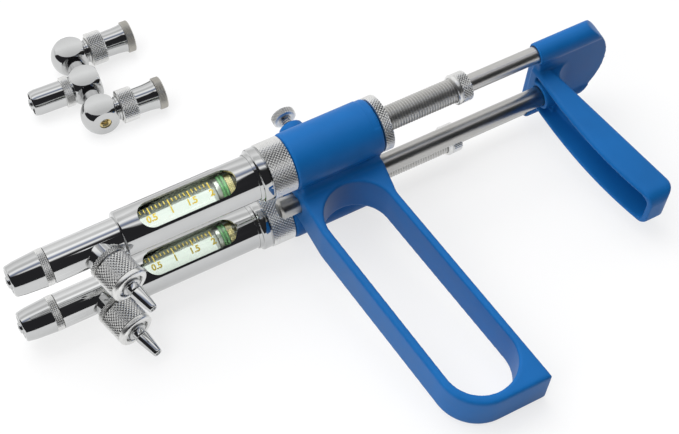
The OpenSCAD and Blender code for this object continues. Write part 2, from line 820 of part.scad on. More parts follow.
module housing_handle() {
  color(blue) difference() {
    union() {
      for (side = [UP, DOWN]) barrel(side) turned([
        [0, 0], [0, housing_r - edge], [edge, housing_r], [housing_len - rim_len, housing_r],
        [housing_len - rim_len + rim_step, housing_r - rim_step], [housing_len - edge, housing_r - rim_step],
        [housing_len, housing_r - rim_step - edge], [housing_len, 0]
      ]);
      translate([0, -guide_drop, -barrel_gap / 2])
        cube([housing_len, guide_drop + web_top, barrel_gap]);
      linear_extrude(handle_t, center = true) handle_outline();
      translate([screw_set, 0, 0]) rotate([-90, 0, 0]) cylinder(h = boss_h, r = boss_r);
    }
    for (side = [UP, DOWN]) barrel(side) {
      bar(-over, adapter_tail_len + face_gap, adapter_tail_r + run_gap);
      bar(-over, housing_len - housing_wall, spring_room_r);
      bar(0, housing_len + over, dose_r + run_gap);
    }
    translate([0, -guide_drop, 0]) bar(-over, housing_len + over, guide_r + run_gap);
    translate([screw_set, -guide_drop, 0]) rotate([-90, 0, 0])
      cylinder(h = guide_drop + boss_h + over, r = stud_r + run_gap);
  }
}

module guide_rod() {
  color(steel) translate([0, -guide_drop, 0]) turned([
    [-guide_proud, 0], [-guide_proud, guide_r - 2 * edge], [-guide_proud + 2 * edge, guide_r],
    [guide_rear, guide_r], [guide_rear, 0]
  ]);
}

module lock_screw_stud() {
  stud_y = -guide_drop + guide_r + stud_open;
  color(chrome) translate([screw_set, stud_y, 0]) rotate([-90, 0, 0])
    cylinder(h = boss_h + screw_head_gap + screw_head_len / 2 - stud_y, r = stud_r);
}

module lock_screw_head() {
  head_y = boss_h + screw_head_gap;
  color(chrome) translate([screw_set, head_y, 0]) rotate([0, 0, 90]) difference() {
    turned([
      [0, 0], [0, screw_head_r - edge], [edge, screw_head_r], [screw_head_len - edge, screw_head_r],
      [screw_head_len, screw_head_r - edge], [screw_head_len, 0]
    ]);
    bar(-over, screw_head_len / 2 + face_gap, stud_r + run_gap);
  }
}

// Flat outline of the grip seen along y
module palm_outline() {
  half = barrel_gap / 2 + grip_boss_r;
  swing = asin(half / palm_r);
  polygon(concat(
    [[grip_set, half], [grip_set, -half]],
    arc([palm_x, 0], palm_r, -swing, swing, 2 * arm_steps)
  ));
}

// Side outline of the arm, seen along z
module arm_outline(front_in, rear_in) {
  rear_top = grip_set + arm_top_d - rear_in;
  end_x = arm_front(1)[0] + arm_end_d - rear_in;
  round_c = [end_x - arm_round_r, arm_round_r - arm_len];
  polygon(concat(
    [[grip_set + front_in, 0]],
    [for (i = [0:arm_steps]) arm_front(i / arm_steps) + [front_in, 0]],
    arc(round_c, arm_round_r, -90, 0, arm_steps / 2),
    [[rear_top, arm_y0], [rear_top, 0]]
  ));
}

// Outline of the arm or its trough seen along x, with round lower corners
module arm_plan(inset, round_r, top) {
  half = arm_w / 2 - inset;
  low = inset - arm_len;
  polygon(concat(
    [[top, half]],
    arc([low + round_r, half - round_r], round_r, 90, 180, arm_steps / 2),
    arc([low + round_r, round_r - half], round_r, 180, 270, arm_steps / 2),
    [[top, -half]]
  ));
}

module palm_grip() {
  fillet_x = grip_set + arm_top_d;
  color(blue) difference() {
    union() {
      intersection() {
        union() {
          for (side = [UP, DOWN]) barrel(side) bar(grip_set, grip_set + palm_len, grip_boss_r);
          translate([grip_set + over, -grip_web_t / 2, -barrel_gap / 2])
            cube([palm_len, grip_web_t, barrel_gap]);
        }
        rotate([90, 0, 0]) linear_extrude(4 * grip_boss_r, center = true) palm_outline();
      }
      difference() {
        intersection() {
          linear_extrude(arm_w, center = true) arm_outline(0, 0);
          translate([grip_set - over, 0, 0]) rotate([90, 0, 90])
            linear_extrude(palm_len) arm_plan(0, arm_corner_r, over);
        }
        intersection() {
          linear_extrude(arm_w, center = true) arm_outline(-over, arm_wall);
          translate([grip_set - over, 0, 0]) rotate([90, 0, 90])
            linear_extrude(palm_len) arm_plan(arm_wall, arm_corner_r - arm_wall / 2, arm_y0);
        }
      }
      translate([0, -guide_drop, 0]) bar(grip_set, grip_set + arm_top_d, guide_boss_r);
      linear_extrude(arm_w, center = true) polygon(concat(
        [[fillet_x - arm_wall, arm_y0 - arm_fillet_r], [fillet_x - arm_wall, 0]],
        [[fillet_x + arm_fillet_r, 0]],
        arc([fillet_x + arm_fillet_r, arm_y0 - arm_fillet_r], arm_fillet_r, 90, 180, arm_steps / 2)
      ));
    }
    for (side = [UP, DOWN]) barrel(side) bar(grip_set - over, rod_rear + face_gap, rod_r + face_gap);
    translate([0, -guide_drop, 0]) bar(grip_set - over, guide_rear + face_gap, guide_r + face_gap);
  }
}

// Ball with six flats, or five where its round side reaches on
module ball_block(reach) {
  intersection() {
    sphere(ball_r);
    translate([-reach, -flat_d, -flat_d]) cube([reach + flat_d, 2 * flat_d, 2 * flat_d]);
  }
}

module manifold_body() {
  color(chrome) difference() {
    union() {
      for (row = [UP, DOWN]) table(row) ball_block(ball_r + over);
      table(0) ball_block(flat_d);
      table(0) rotate([90, 0, 0]) cylinder(h = 2 * block_gap, r = neck_r, center = true);
      for (row = [UP, DOWN]) table(row)
        bar(0, gland_set + gland_len + socket_rim_len, tube_r - 2 * run_gap - edge);
      table(0) rotate([0, 0, 180]) difference() {
        turned([
          [0, 0], [0, tube_r], [outlet_reach - edge, tube_r],
          [outlet_reach, tube_r - edge], [outlet_reach, 0]
        ]);
        bar(outlet_reach - luer_skirt_depth, outlet_reach + over, luer_skirt_r);
      }
      table(0) luer_cone(-outlet_reach, luer_skirt_depth - outlet_reach);
    }
    table(DOWN) rotate([0, 0, -90]) {
      bar(flat_d - plug_len, flat_d + over, plug_r + run_gap);
    }
    table(0) bar(-outlet_reach - over - luer_proud, 0, passage_r);
    table(0) rotate([90, 0, 0]) cylinder(h = 2 * block_gap, r = passage_r, center = true);
    for (row = [UP, DOWN]) table(row) bar(0, socket_reach, passage_r);
  }
}

module gland_nut() {
  gland_end = gland_set + gland_len;
  color(chrome) difference() {
    turned([
      [gland_set, 0], [gland_set, gland_r - edge], [gland_set + edge, gland_r],
      [gland_end - edge, gland_r], [gland_end, gland_r - edge], [gland_end, 0]
    ]);
    bar(gland_set - over, gland_end + over, tube_r + run_gap);
  }
}

module socket() {
  gland_end = gland_set + gland_len;
  tube_front = gland_set + edge;
  rim_front = socket_reach - socket_rim_len;
  color(chrome) difference() {
    turned([
      [tube_front, 0], [tube_front, tube_r], [gland_end + edge, tube_r],
      [rim_front, socket_flare_r], [rim_front, socket_rim_r - edge / 2],
      [rim_front + edge / 2, socket_rim_r], [socket_reach - edge, socket_rim_r],
      [socket_reach, socket_rim_r - edge], [socket_reach, 0]
    ]);
    bar(tube_front - over, gland_end + socket_rim_len + face_gap, tube_r - edge - run_gap);
    bar(tube_front, socket_reach, passage_r);
    bar(socket_reach - socket_depth, socket_reach + over, socket_bore_r);
  }
}

module outlet_ring() {
  color(chrome) difference() {
    turned([
      [flat_d + edge, 0], [flat_d + edge, outlet_ring_r - edge], [flat_d + 2 * edge, outlet_ring_r],
      [flat_d + outlet_ring_len, outlet_ring_r], [flat_d + outlet_ring_len + edge, outlet_ring_r - edge],
      [flat_d + outlet_ring_len + edge, 0]
    ]);
    bar(flat_d - over, flat_d + outlet_ring_len + over, tube_r + run_gap);
  }
}

module manifold_plug() {
  color(brass) difference() {
    bar(flat_d - plug_len + face_gap, flat_d - edge, plug_r);
    bar(flat_d - plug_len / 2, flat_d + over, plug_r / 2);
  }
}

rest() housing_handle();
rest() guide_rod();
rest() palm_grip();
rest() lock_screw_stud();
rest() lock_screw_head();
rest() glass_gaskets();
rest() barrel(UP) nozzle();  // nozzle_upper
rest() barrel(DOWN) nozzle();  // nozzle_lower
rest() front_body(UP);  // front_body_upper
rest() front_body(DOWN);  // front_body_lower
rest() barrel(UP) outlet_valve();  // outlet_valve_upper
rest() barrel(DOWN) outlet_valve();  // outlet_valve_lower
rest() barrel(UP) outlet_spring();  // outlet_spring_upper
rest() barrel(DOWN) outlet_spring();  // outlet_spring_lower
rest() inlet(UP) inlet_ring();  // inlet_ring_upper
rest() inlet(DOWN) inlet_ring();  // inlet_ring_lower
rest() inlet(UP) union_nut();  // union_nut_upper
rest() inlet(DOWN) union_nut();  // union_nut_lower
rest() inlet(UP) hose_nipple();  // hose_nipple_upper
rest() inlet(DOWN) hose_nipple();  // hose_nipple_lower
rest() inlet(UP) inlet_valve();  // inlet_valve_upper
rest() inlet(DOWN) inlet_valve();  // inlet_valve_lower
rest() inlet(UP) inlet_spring();  // inlet_spring_upper
rest() inlet(DOWN) inlet_spring();  // inlet_spring_lower
rest() barrel(UP) window_sleeve();  // window_sleeve_upper
rest() barrel(DOWN) window_sleeve();  // window_sleeve_lower
rest() barrel(UP) glass_cylinder();  // glass_cylinder_upper
rest() barrel(DOWN) glass_cylinder();  // glass_cylinder_lower
rest() barrel(UP) collar_nut();  // collar_nut_upper
rest() barrel(DOWN) collar_nut();  // collar_nut_lower
rest() barrel(UP) adapter();  // adapter_upper
rest() barrel(DOWN) adapter();  // adapter_lower
rest() barrel(UP) piston_head();  // piston_head_upper
rest() barrel(DOWN) piston_head();  // piston_head_lower
rest() barrel(UP) piston_rings();  // piston_rings_upper
rest() barrel(DOWN) piston_rings();  // piston_rings_lower
rest() barrel(UP) piston_nut();  // piston_nut_upper
rest() barrel(DOWN) piston_nut();  // piston_nut_lower
rest() barrel(UP) piston_rod();  // piston_rod_upper
rest() barrel(DOWN) piston_rod();  // piston_rod_lower
rest() barrel(UP) return_spring();  // return_spring_upper
rest() barrel(DOWN) return_spring();  // return_spring_lower
rest() barrel(UP) spring_seat();  // spring_seat_upper
rest() barrel(DOWN) spring_seat();  // spring_seat_lower
rest() barrel(UP) lock_disc();  // lock_disc_upper
rest() barrel(DOWN) lock_disc();  // lock_disc_lower
rest() barrel(UP) dose_sleeve();  // dose_sleeve_upper
rest() barrel(DOWN) dose_sleeve();  // dose_sleeve_lower
rest() barrel(UP) dose_knob();  // dose_knob_upper
rest() barrel(DOWN) dose_knob();  // dose_knob_lower
manifold_body();
table(UP) gland_nut();  // gland_nut_a
table(DOWN) gland_nut();  // gland_nut_c
table(UP) socket();  // socket_a
table(DOWN) socket();  // socket_c
table(0) rotate([0, 0, 180]) outlet_ring();
table(DOWN) rotate([0, 0, -90]) manifold_plug();
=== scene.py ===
"""Dressed model of a twin barrel self filling syringe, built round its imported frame.

Sizes are millimetres on the syringe's own axes: x runs from the nozzles to the palm grip, -y down
the handle, and z from the lower to the upper barrel. A matrix carries each piece to the frame.
"""

import logging
import math
import sys
from dataclasses import dataclass, field
from enum import Enum
from typing import Callable, Sequence

import bmesh  # noqa: E402
import bpy  # noqa: E402
from mathutils import Matrix, Vector  # noqa: E402

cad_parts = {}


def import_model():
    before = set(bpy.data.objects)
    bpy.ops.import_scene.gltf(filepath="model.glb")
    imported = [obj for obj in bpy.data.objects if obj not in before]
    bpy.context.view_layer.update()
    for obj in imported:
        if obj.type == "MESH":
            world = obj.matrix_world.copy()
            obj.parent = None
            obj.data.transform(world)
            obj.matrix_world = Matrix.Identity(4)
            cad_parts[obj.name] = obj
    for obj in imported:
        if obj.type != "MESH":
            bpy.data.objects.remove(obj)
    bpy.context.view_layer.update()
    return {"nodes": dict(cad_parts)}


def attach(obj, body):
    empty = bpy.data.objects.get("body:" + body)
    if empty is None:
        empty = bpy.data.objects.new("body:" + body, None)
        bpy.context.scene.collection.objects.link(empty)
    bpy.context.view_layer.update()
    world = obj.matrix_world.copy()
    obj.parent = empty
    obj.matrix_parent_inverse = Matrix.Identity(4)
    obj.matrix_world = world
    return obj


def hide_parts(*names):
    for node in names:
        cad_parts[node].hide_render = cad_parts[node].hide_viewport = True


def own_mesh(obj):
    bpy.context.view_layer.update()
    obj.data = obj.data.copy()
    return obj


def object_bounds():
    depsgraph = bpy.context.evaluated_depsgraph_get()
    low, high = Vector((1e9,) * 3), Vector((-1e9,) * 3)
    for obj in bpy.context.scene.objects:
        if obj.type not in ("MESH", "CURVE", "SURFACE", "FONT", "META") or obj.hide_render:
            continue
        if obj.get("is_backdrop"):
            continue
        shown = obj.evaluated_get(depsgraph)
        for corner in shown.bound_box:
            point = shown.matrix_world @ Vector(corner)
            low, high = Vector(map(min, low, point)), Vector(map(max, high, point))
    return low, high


log = logging.getLogger("syringe")

TAU = 2 * math.pi
MM = 0.001
GRAIN_HEIGHT = 0.3 * MM
FLOAT = "NodeSocketFloat"
Colour = tuple[float, float, float]


class Side(Enum):
    """The two barrels."""

    UPPER = 1
    LOWER = -1

    @property
    def word(self) -> str:
        """The barrel's name in piece names."""
        return self.name.lower()


@dataclass(frozen=True)
class Rest:
    """How the syringe and its loose manifold lie on the table."""

    tilt: float = 9.870225
    mid_x: float = 14.125
    mid_y: float = 8.340963
    floor_drop: float = 25.563177
    barrel_gap: float = 32.0
    inlet_set: float = 68.6
    inlet_lean: float = 15.0
    guide_drop: float = 6.85
    block_gap: float = 16.2
    manifold_x: float = -35.0
    manifold_y: float = 95.0
    manifold_h: float = 6.3
    manifold_turn: float = -3.0

    def syringe(self) -> Matrix:
        """The matrix from the syringe's millimetres to the frame's metres.

        Returns:
            The matrix to the frame.
        """
        return (
            Matrix.Scale(MM, 4)
            @ Matrix.Translation((-self.mid_x, -self.mid_y, self.floor_drop))
            @ Matrix.Rotation(math.radians(self.tilt), 4, "X")
        )

    def barrel(self, side: Side) -> Matrix:
        """The matrix of one barrel, whose x axis is the barrel's own."""
        return self.syringe() @ Matrix.Translation((0, 0, side.value * self.barrel_gap / 2))

    def branch(self) -> Matrix:
        """The matrix from an inlet's axes, whose x runs outwards, to its barrel's."""
        lean = Matrix.Rotation(math.radians(self.inlet_lean - 90), 4, "Z")
        return Matrix.Translation((-self.inlet_set, 0, 0)) @ lean

    def inlet(self, side: Side) -> Matrix:
        """The matrix of one inlet, whose x axis runs outwards along the inlet."""
        return self.barrel(side) @ self.branch()

    def lines(self) -> list[Matrix]:
        """The matrices from each barrel's axis to the syringe's."""
        return [Matrix.Translation((0, 0, side.value * self.barrel_gap / 2)) for side in Side]

    def guide_line(self) -> Matrix:
        """The matrix from the guide rod's axis to the syringe's."""
        return Matrix.Translation((0, -self.guide_drop, 0))

    def guide(self) -> Matrix:
        """The matrix of the guide rod, whose x axis is the rod's own."""
        return self.syringe() @ self.guide_line()

    def table(self, row: int, turn: float = 0.0) -> Matrix:
        """The matrix of one block of the manifold.

        Args:
            row: 1, 0 or -1 for the three blocks.
            turn: Turn about the vertical, in degrees.

        Returns:
            The matrix to the frame.
        """
        home = (self.manifold_x - self.mid_x, self.manifold_y - self.mid_y, self.manifold_h)
        return (
            Matrix.Scale(MM, 4)
            @ Matrix.Translation(home)
            @ Matrix.Rotation(math.radians(self.manifold_turn), 4, "Z")
            @ Matrix.Translation((0, row * self.block_gap, 0))
            @ Matrix.Rotation(math.radians(turn), 4, "Z")
        )


REST = Rest()


# Shapes


class Profile:
    """Points of a turned shape: station, radius and knurl row."""

    def __init__(self, x: float, r: float) -> None:
        """Starts the profile at a station and a radius."""
        self.points: list[tuple[float, float, int]] = [(x, r, 0)]
        self.closed = False

    def to(self, *points: tuple[float, float]) -> "Profile":
        """Adds straight runs to the given stations and radii, and returns the profile."""
        self.points += [(x, r, 0) for x, r in points]
        return self

    def knurl(self, x1: float, pitch: float) -> "Profile":
        """Adds a knurled run at the last point's radius.

        Args:
            x1: Station where the knurl ends.
            pitch: Length of one diamond along the axis.

        Returns:
            The profile itself.
        """
        x0, r, _ = self.points.pop()
        count = max(2, round(2 * abs(x1 - x0) / pitch))
        self.points += [(x0 + (x1 - x0) * i / count, r, i + 1) for i in range(count + 1)]
        return self

    def loop(self) -> "Profile":
        """Joins the last point to the first, for a shape with a bore."""
        self.closed = True
        return self


def softened(
    bm: bmesh.types.BMesh, edges: list[bmesh.types.BMEdge], width: float, segments: int,
    clamp: bool = True,
) -> None:
    """Rounds edges.

    Args:
        bm: The shape.
        edges: The edges to round.
        width: Width of the rounding.
        segments: Its facets.
        clamp: Whether the rounding stops where it would run into another.
    """
    bmesh.ops.bevel(
        bm, geom=edges, offset=width, offset_type="OFFSET", segments=segments, profile=0.5,
        affect="EDGES", clamp_overlap=clamp, material=-1,
    )


@dataclass(frozen=True)
class Turning:
    """How a profile is turned: its sides, its softened rims and the depth of its knurl."""

    sides: int = 96
    soft: float = 0.12
    depth: float = 0.28

    def make(self, profile: Profile) -> bmesh.types.BMesh:
        """Turns a profile about the x axis.

        Args:
            profile: The shape's points.

        Returns:
            The closed shape.
        """
        bm = bmesh.new()
        row = bm.verts.layers.int.new("row")
        verts = []
        for x, r, mark in profile.points:
            vert = bm.verts.new((x, 0, r))
            vert[row] = mark
            verts.append(vert)
        pairs = list(zip(verts, verts[1:])) + ([(verts[-1], verts[0])] if profile.closed else [])
        for a, b in pairs:
            bm.edges.new((a, b))
        bmesh.ops.spin(
            bm, geom=bm.verts[:] + bm.edges[:], cent=(0, 0, 0), axis=(1, 0, 0), angle=TAU,
            steps=self.sides, use_merge=True, use_duplicate=False,
        )
        bmesh.ops.remove_doubles(bm, verts=bm.verts, dist=1e-4)
        bmesh.ops.recalc_face_normals(bm, faces=bm.faces)
        self._soften(bm, row)
        self._knurl(bm, row)
        return bm

    def _soften(self, bm: bmesh.types.BMesh, row: bmesh.types.BMLayerItem) -> None:
        """Bevels the sharp rims that carry no knurl.

        Args:
            bm: The turned shape.
            row: The layer with the knurl rows.
        """
        if not self.soft:
            return
        rims = [
            e for e in bm.edges
            if len(e.link_faces) == 2
            and abs(e.verts[0].co.x - e.verts[1].co.x) < 1e-5
            and not e.verts[0][row]
            and e.calc_face_angle(0) > math.radians(20)
        ]
        if rims:
            softened(bm, rims, self.soft, 2, clamp=False)

    def _knurl(self, bm: bmesh.types.BMesh, row: bmesh.types.BMLayerItem) -> None:
        """Raises every other point of the knurled rows, joins the valleys and marks the faces.

        Args:
            bm: The turned shape.
            row: The layer with the knurl rows.
        """
        valleys = []
        for vert in [v for v in bm.verts if v[row]]:
            column = round(math.atan2(vert.co.y, vert.co.z) / TAU * self.sides)
            if (column + vert[row]) % 2 == 0:
                out = Vector((0, vert.co.y, vert.co.z)).normalized()
                vert.co += out * self.depth
            else:
                valleys.append(vert)
        if valleys:
            bmesh.ops.connect_verts(bm, verts=valleys)
        for face in bm.faces:
            face.material_index = int(all(vert[row] for vert in face.verts))


@dataclass(frozen=True)
class KnurledRing:
    """A plain ring with a knurled band between its two rims."""

    front: float
    rear: float
    bore_r: float
    rim_r: float
    band_r: float
    lead: float
    run_out: float
    pitch: float

    def profile(self) -> Profile:
        """Draws the ring.

        Returns:
            Its profile, closed round the bore.
        """
        return (
            Profile(self.front, self.bore_r)
            .to((self.front, self.rim_r), (self.front + self.lead, self.band_r))
            .knurl(self.rear - self.run_out, self.pitch)
            .to((self.rear, self.rim_r), (self.rear, self.bore_r)).loop()
        )


def luer(base: float, rim: float, tip: float) -> tuple[bmesh.types.BMesh, bmesh.types.BMesh]:
    """Makes a luer cone and the thread inside the skirt round it.

    Args:
        base: Station of the cone's foot.
        rim: Station of the skirt's rim.
        tip: Station of the cone's tip.

    Returns:
        The cone and the thread.
    """
    inward = math.copysign(1, base - tip)
    cone = Turning(sides=48, soft=0.1).make(
        Profile(base, 0.9).to((base, 2.2), (tip + 0.3 * inward, 1.99), (tip, 1.75), (tip, 0.9)).loop()
    )
    groove_r, crest_r = 4.1, 3.65
    turns = (
        (0.9, groove_r), (1.3, crest_r), (1.7, groove_r), (2.7, groove_r), (3.1, crest_r), (3.5, groove_r),
    )
    points = [(rim + depth * inward, r) for depth, r in turns]
    ring = Turning(sides=48, soft=0.0).make(Profile(*points[0]).to(*points[1:]).loop())
    return cone, ring


def thread(
    x0: float, x1: float, radius: float, pitch: float, depth: float, sides: int
) -> bmesh.types.BMesh:
    """Makes a bar with a screw thread.

    Args:
        x0: Station of its front end.
        x1: Station of its rear end.
        radius: Radius of the thread's crest.
        pitch: Length of one turn.
        depth: Depth of the thread.
        sides: Sides of one turn.

    Returns:
        The closed bar.
    """
    turns = math.ceil((x1 - x0) / pitch) + 2
    start = x0 - pitch
    crest = ((0.0, -depth), (0.12, -depth), (0.45, 0.0), (0.67, 0.0), (1.0, -depth))
    bm = bmesh.new()
    verts = [bm.verts.new((start + share * pitch, 0, radius + drop)) for share, drop in crest]
    for a, b in zip(verts, verts[1:]):
        bm.edges.new((a, b))
    bmesh.ops.spin(
        bm, geom=bm.verts[:] + bm.edges[:], cent=(0, 0, 0), axis=(1, 0, 0), dvec=(pitch / sides, 0, 0),
        angle=TAU * turns, steps=sides * turns, use_merge=False, use_duplicate=False,
    )
    bmesh.ops.remove_doubles(bm, verts=bm.verts, dist=1e-3)
    for x, out in ((x0, -1), (x1, 1)):
        bmesh.ops.bisect_plane(
            bm, geom=bm.verts[:] + bm.edges[:] + bm.faces[:], dist=1e-5, plane_co=(x, 0, 0),
            plane_no=(out, 0, 0), clear_outer=True,
        )
    bmesh.ops.holes_fill(bm, edges=[e for e in bm.edges if e.is_boundary], sides=0)
    bmesh.ops.recalc_face_normals(bm, faces=bm.faces)
    return bm


def prism(
    points: Sequence[tuple[float, float]], depth: float, soft: float = 0.0
) -> bmesh.types.BMesh:
    """Extrudes a flat outline in x and y, centred on z, and softens its two rims.

    Args:
        points: The outline.
        depth: Thickness along z.
        soft: Width of the rounding along the rims.

    Returns:
        The closed shape.
    """
    bm = bmesh.new()
    face = bm.faces.new([bm.verts.new((x, y, -depth / 2)) for x, y in points])
    grown = bmesh.ops.extrude_face_region(bm, geom=[face])["geom"]
    top = [g for g in grown if isinstance(g, bmesh.types.BMVert)]
    bmesh.ops.translate(bm, verts=top, vec=(0, 0, depth))
    bmesh.ops.recalc_face_normals(bm, faces=bm.faces)
    if soft:
        rims = [e for e in bm.edges if abs(e.verts[0].co.z - e.verts[1].co.z) < 1e-5]
        softened(bm, rims, soft, 4)
    return bm


def box(low: Sequence[float], high: Sequence[float]) -> bmesh.types.BMesh:
    """Makes a box.

    Args:
        low: Its lowest corner.
        high: Its highest corner.

    Returns:
        The closed shape.
    """
    bm = bmesh.new()
    bmesh.ops.create_cube(bm, size=1)
    span = [b - a for a, b in zip(low, high)]
    bmesh.ops.scale(bm, vec=span, verts=bm.verts)
    bmesh.ops.translate(bm, vec=[(a + b) / 2 for a, b in zip(low, high)], verts=bm.verts)
    return bm


def rod(x0: float, x1: float, r: float, sides: int) -> bmesh.types.BMesh:
    """Makes a round bar along x between two stations."""
    return Turning(sides=sides, soft=0.0).make(Profile(x0, 0).to((x0, r), (x1, r), (x1, 0)))


def moved(bm: bmesh.types.BMesh, matrix: Matrix) -> bmesh.types.BMesh:
    """Transforms a shape and returns it."""
    bmesh.ops.transform(bm, matrix=matrix, verts=bm.verts)
    return bm


def along_x(bm: bmesh.types.BMesh, station: float) -> bmesh.types.BMesh:
    """Turns a prism so that its thickness runs along x, with its middle at a station."""
    return moved(bm, Matrix(((0, 0, 1, station), (1, 0, 0, 0), (0, 1, 0, 0), (0, 0, 0, 1))))


def joined(*shapes: bmesh.types.BMesh) -> bmesh.types.BMesh:
    """Puts several shapes into one, and frees the rest.

    Args:
        shapes: The shapes.

    Returns:
        One shape that holds them all.
    """
    bm = bmesh.new()
    for shape in shapes:
        mesh = bpy.data.meshes.new("part")
        shape.to_mesh(mesh)
        shape.free()
        bm.from_mesh(mesh)
        bpy.data.meshes.remove(mesh)
    return bm


def through_modifiers(
    bm: bmesh.types.BMesh, setup: Callable[[bpy.types.Object], None]
) -> bmesh.types.BMesh:
    """Runs a shape through modifiers and returns the result.

    Args:
        bm: The shape, which is freed.
        setup: Adds the modifiers to the object that holds the shape.

    Returns:
        The new shape.
    """
    mesh = bpy.data.meshes.new("blank")
    bm.to_mesh(mesh)
    bm.free()
    blank = bpy.data.objects.new("blank", mesh)
    bpy.context.scene.collection.objects.link(blank)
    setup(blank)
    graph = bpy.context.evaluated_depsgraph_get()
    result = bpy.data.meshes.new_from_object(blank.evaluated_get(graph))
    out = bmesh.new()
    out.from_mesh(result)
    bpy.data.meshes.remove(result)
    bpy.data.objects.remove(blank)
    bpy.data.meshes.remove(mesh)
    return out


class Operation(Enum):
    """What a boolean does."""

    UNION = "UNION"
    DIFFERENCE = "DIFFERENCE"
    INTERSECT = "INTERSECT"


def combined(
    bm: bmesh.types.BMesh, tool: bmesh.types.BMesh, operation: Operation
) -> bmesh.types.BMesh:
    """Adds, cuts or intersects two shapes.

    Args:
        bm: The shape, which is freed.
        tool: The other shape, which is freed.
        operation: What to do.

    Returns:
        The result.
    """
    mesh = bpy.data.meshes.new("tool")
    tool.to_mesh(mesh)
    tool.free()
    other = bpy.data.objects.new("tool", mesh)
    bpy.context.scene.collection.objects.link(other)

    def setup(blank: bpy.types.Object) -> None:
        """Adds the boolean.

        Args:
            blank: The object that holds the shape.
        """
        modifier = blank.modifiers.new("boolean", "BOOLEAN")
        modifier.operation = operation.value
        modifier.solver = "EXACT"
        modifier.use_self = True
        modifier.object = other

    out = through_modifiers(bm, setup)
    bpy.data.objects.remove(other)
    bpy.data.meshes.remove(mesh)
    return out


def moulded(bm: bmesh.types.BMesh, voxel: float, rounds: int) -> bmesh.types.BMesh:
    """Fuses overlapping shapes into one skin and rounds its edges, as a mould does.

    Args:
        bm: The shapes, which are freed.
        voxel: Size of the skin's facets.
        rounds: Rounds of smoothing.

    Returns:
        The fused shape.
    """

    def setup(blank: bpy.types.Object) -> None:
        """Adds the remesh.

        Args:
            blank: The object that holds the shapes.
        """
        modifier = blank.modifiers.new("remesh", "REMESH")
        modifier.mode = "VOXEL"
        modifier.voxel_size = voxel
        modifier.adaptivity = 0.0

    out = through_modifiers(bm, setup)
    for _ in range(rounds):
        bmesh.ops.smooth_vert(
            out, verts=out.verts, factor=0.5, use_axis_x=True, use_axis_y=True, use_axis_z=True
        )
    return out


def arc(c: Vector, r: float, a: float, b: float, steps: int) -> list[tuple[float, float]]:
    """Points of an arc with centre c and radius r, from a degrees to b degrees."""
    turns = [math.radians(a + (b - a) * i / steps) for i in range(steps + 1)]
    return [(c.x + r * math.cos(t), c.y + r * math.sin(t)) for t in turns]


# Finishes


class Nodes:
    """A short hand for building node trees."""

    def __init__(self, tree: bpy.types.NodeTree) -> None:
        """Keeps the node tree to fill."""
        self.tree = tree

    def add(
        self, kind: str, values: dict[str | int, object] | None = None, **settings: object
    ) -> bpy.types.Node:
        """Adds a node.

        Args:
            kind: The node's type name.
            values: Input values by socket.
            settings: Properties of the node.

        Returns:
            The node.
        """
        node = self.tree.nodes.new(kind)
        for name, value in settings.items():
            setattr(node, name, value)
        for socket, value in (values or {}).items():
            node.inputs[socket].default_value = value
        return node

    def link(self, *pairs: tuple[bpy.types.NodeSocket, bpy.types.NodeSocket]) -> None:
        """Links each output to the input that it feeds."""
        for a, b in pairs:
            self.tree.links.new(a, b)

    def ramp(
        self, source: bpy.types.NodeSocket, stops: Sequence[tuple[float, Colour]]
    ) -> bpy.types.NodeSocket:
        """Adds a colour ramp.

        Args:
            source: What drives the ramp.
            stops: Positions and colours.

        Returns:
            The ramp's colour output.
        """
        node = self.add("ShaderNodeValToRGB")
        elements = node.color_ramp.elements
        while len(elements) > 1:
            elements.remove(elements[-1])
        elements[0].position, elements[0].color = stops[0][0], (*stops[0][1], 1)
        for position, colour in stops[1:]:
            element = elements.new(position)
            element.color = (*colour, 1)
        self.link((source, node.inputs["Fac"]))
        return node.outputs["Color"]

    def blend(
        self, factor: bpy.types.NodeSocket, under: bpy.types.NodeSocket, colour: Colour
    ) -> bpy.types.NodeSocket:
        """Adds a mix from a colour output to a fixed colour.

        Args:
            factor: The fixed colour's share.
            under: The colour output.
            colour: The fixed colour.

        Returns:
            The mixed colour.
        """
        node = self.add("ShaderNodeMix", data_type="RGBA")
        first, second = (s for s in node.inputs if s.type == "RGBA")
        second.default_value = (*colour, 1)
        self.link((factor, node.inputs["Factor"]), (under, first))
        return next(s for s in node.outputs if s.type == "RGBA")

    def seen(self) -> tuple[bpy.types.Node, bpy.types.NodeSocket]:
        """Adds a mask of the rays that come from the camera, straight or through glass.

        Returns:
            The light path node and the mask.
        """
        path = self.add("ShaderNodeLightPath")
        mask = self.add("ShaderNodeMath", operation="MAXIMUM")
        self.link(
            (path.outputs["Is Camera Ray"], mask.inputs[0]),
            (path.outputs["Is Transmission Ray"], mask.inputs[1]),
        )
        return path, mask.outputs[0]


def new_group(
    name: str, inputs: Sequence[tuple[str, float]], outputs: Sequence[str]
) -> tuple[bpy.types.NodeTree, Nodes, bpy.types.Node, bpy.types.Node]:
    """Starts a shader node group with named sockets.

    Args:
        name: The group's name.
        inputs: Names and default values.
        outputs: Names of the values that it gives.

    Returns:
        The group, its builder, its input node and its output node.
    """
    group = bpy.data.node_groups.new(name, "ShaderNodeTree")
    for label, value in inputs:
        socket = group.interface.new_socket(name=label, in_out="INPUT", socket_type=FLOAT)
        socket.default_value = value
    for label in outputs:
        group.interface.new_socket(name=label, in_out="OUTPUT", socket_type=FLOAT)
    nodes = Nodes(group)
    return group, nodes, nodes.add("NodeGroupInput"), nodes.add("NodeGroupOutput")


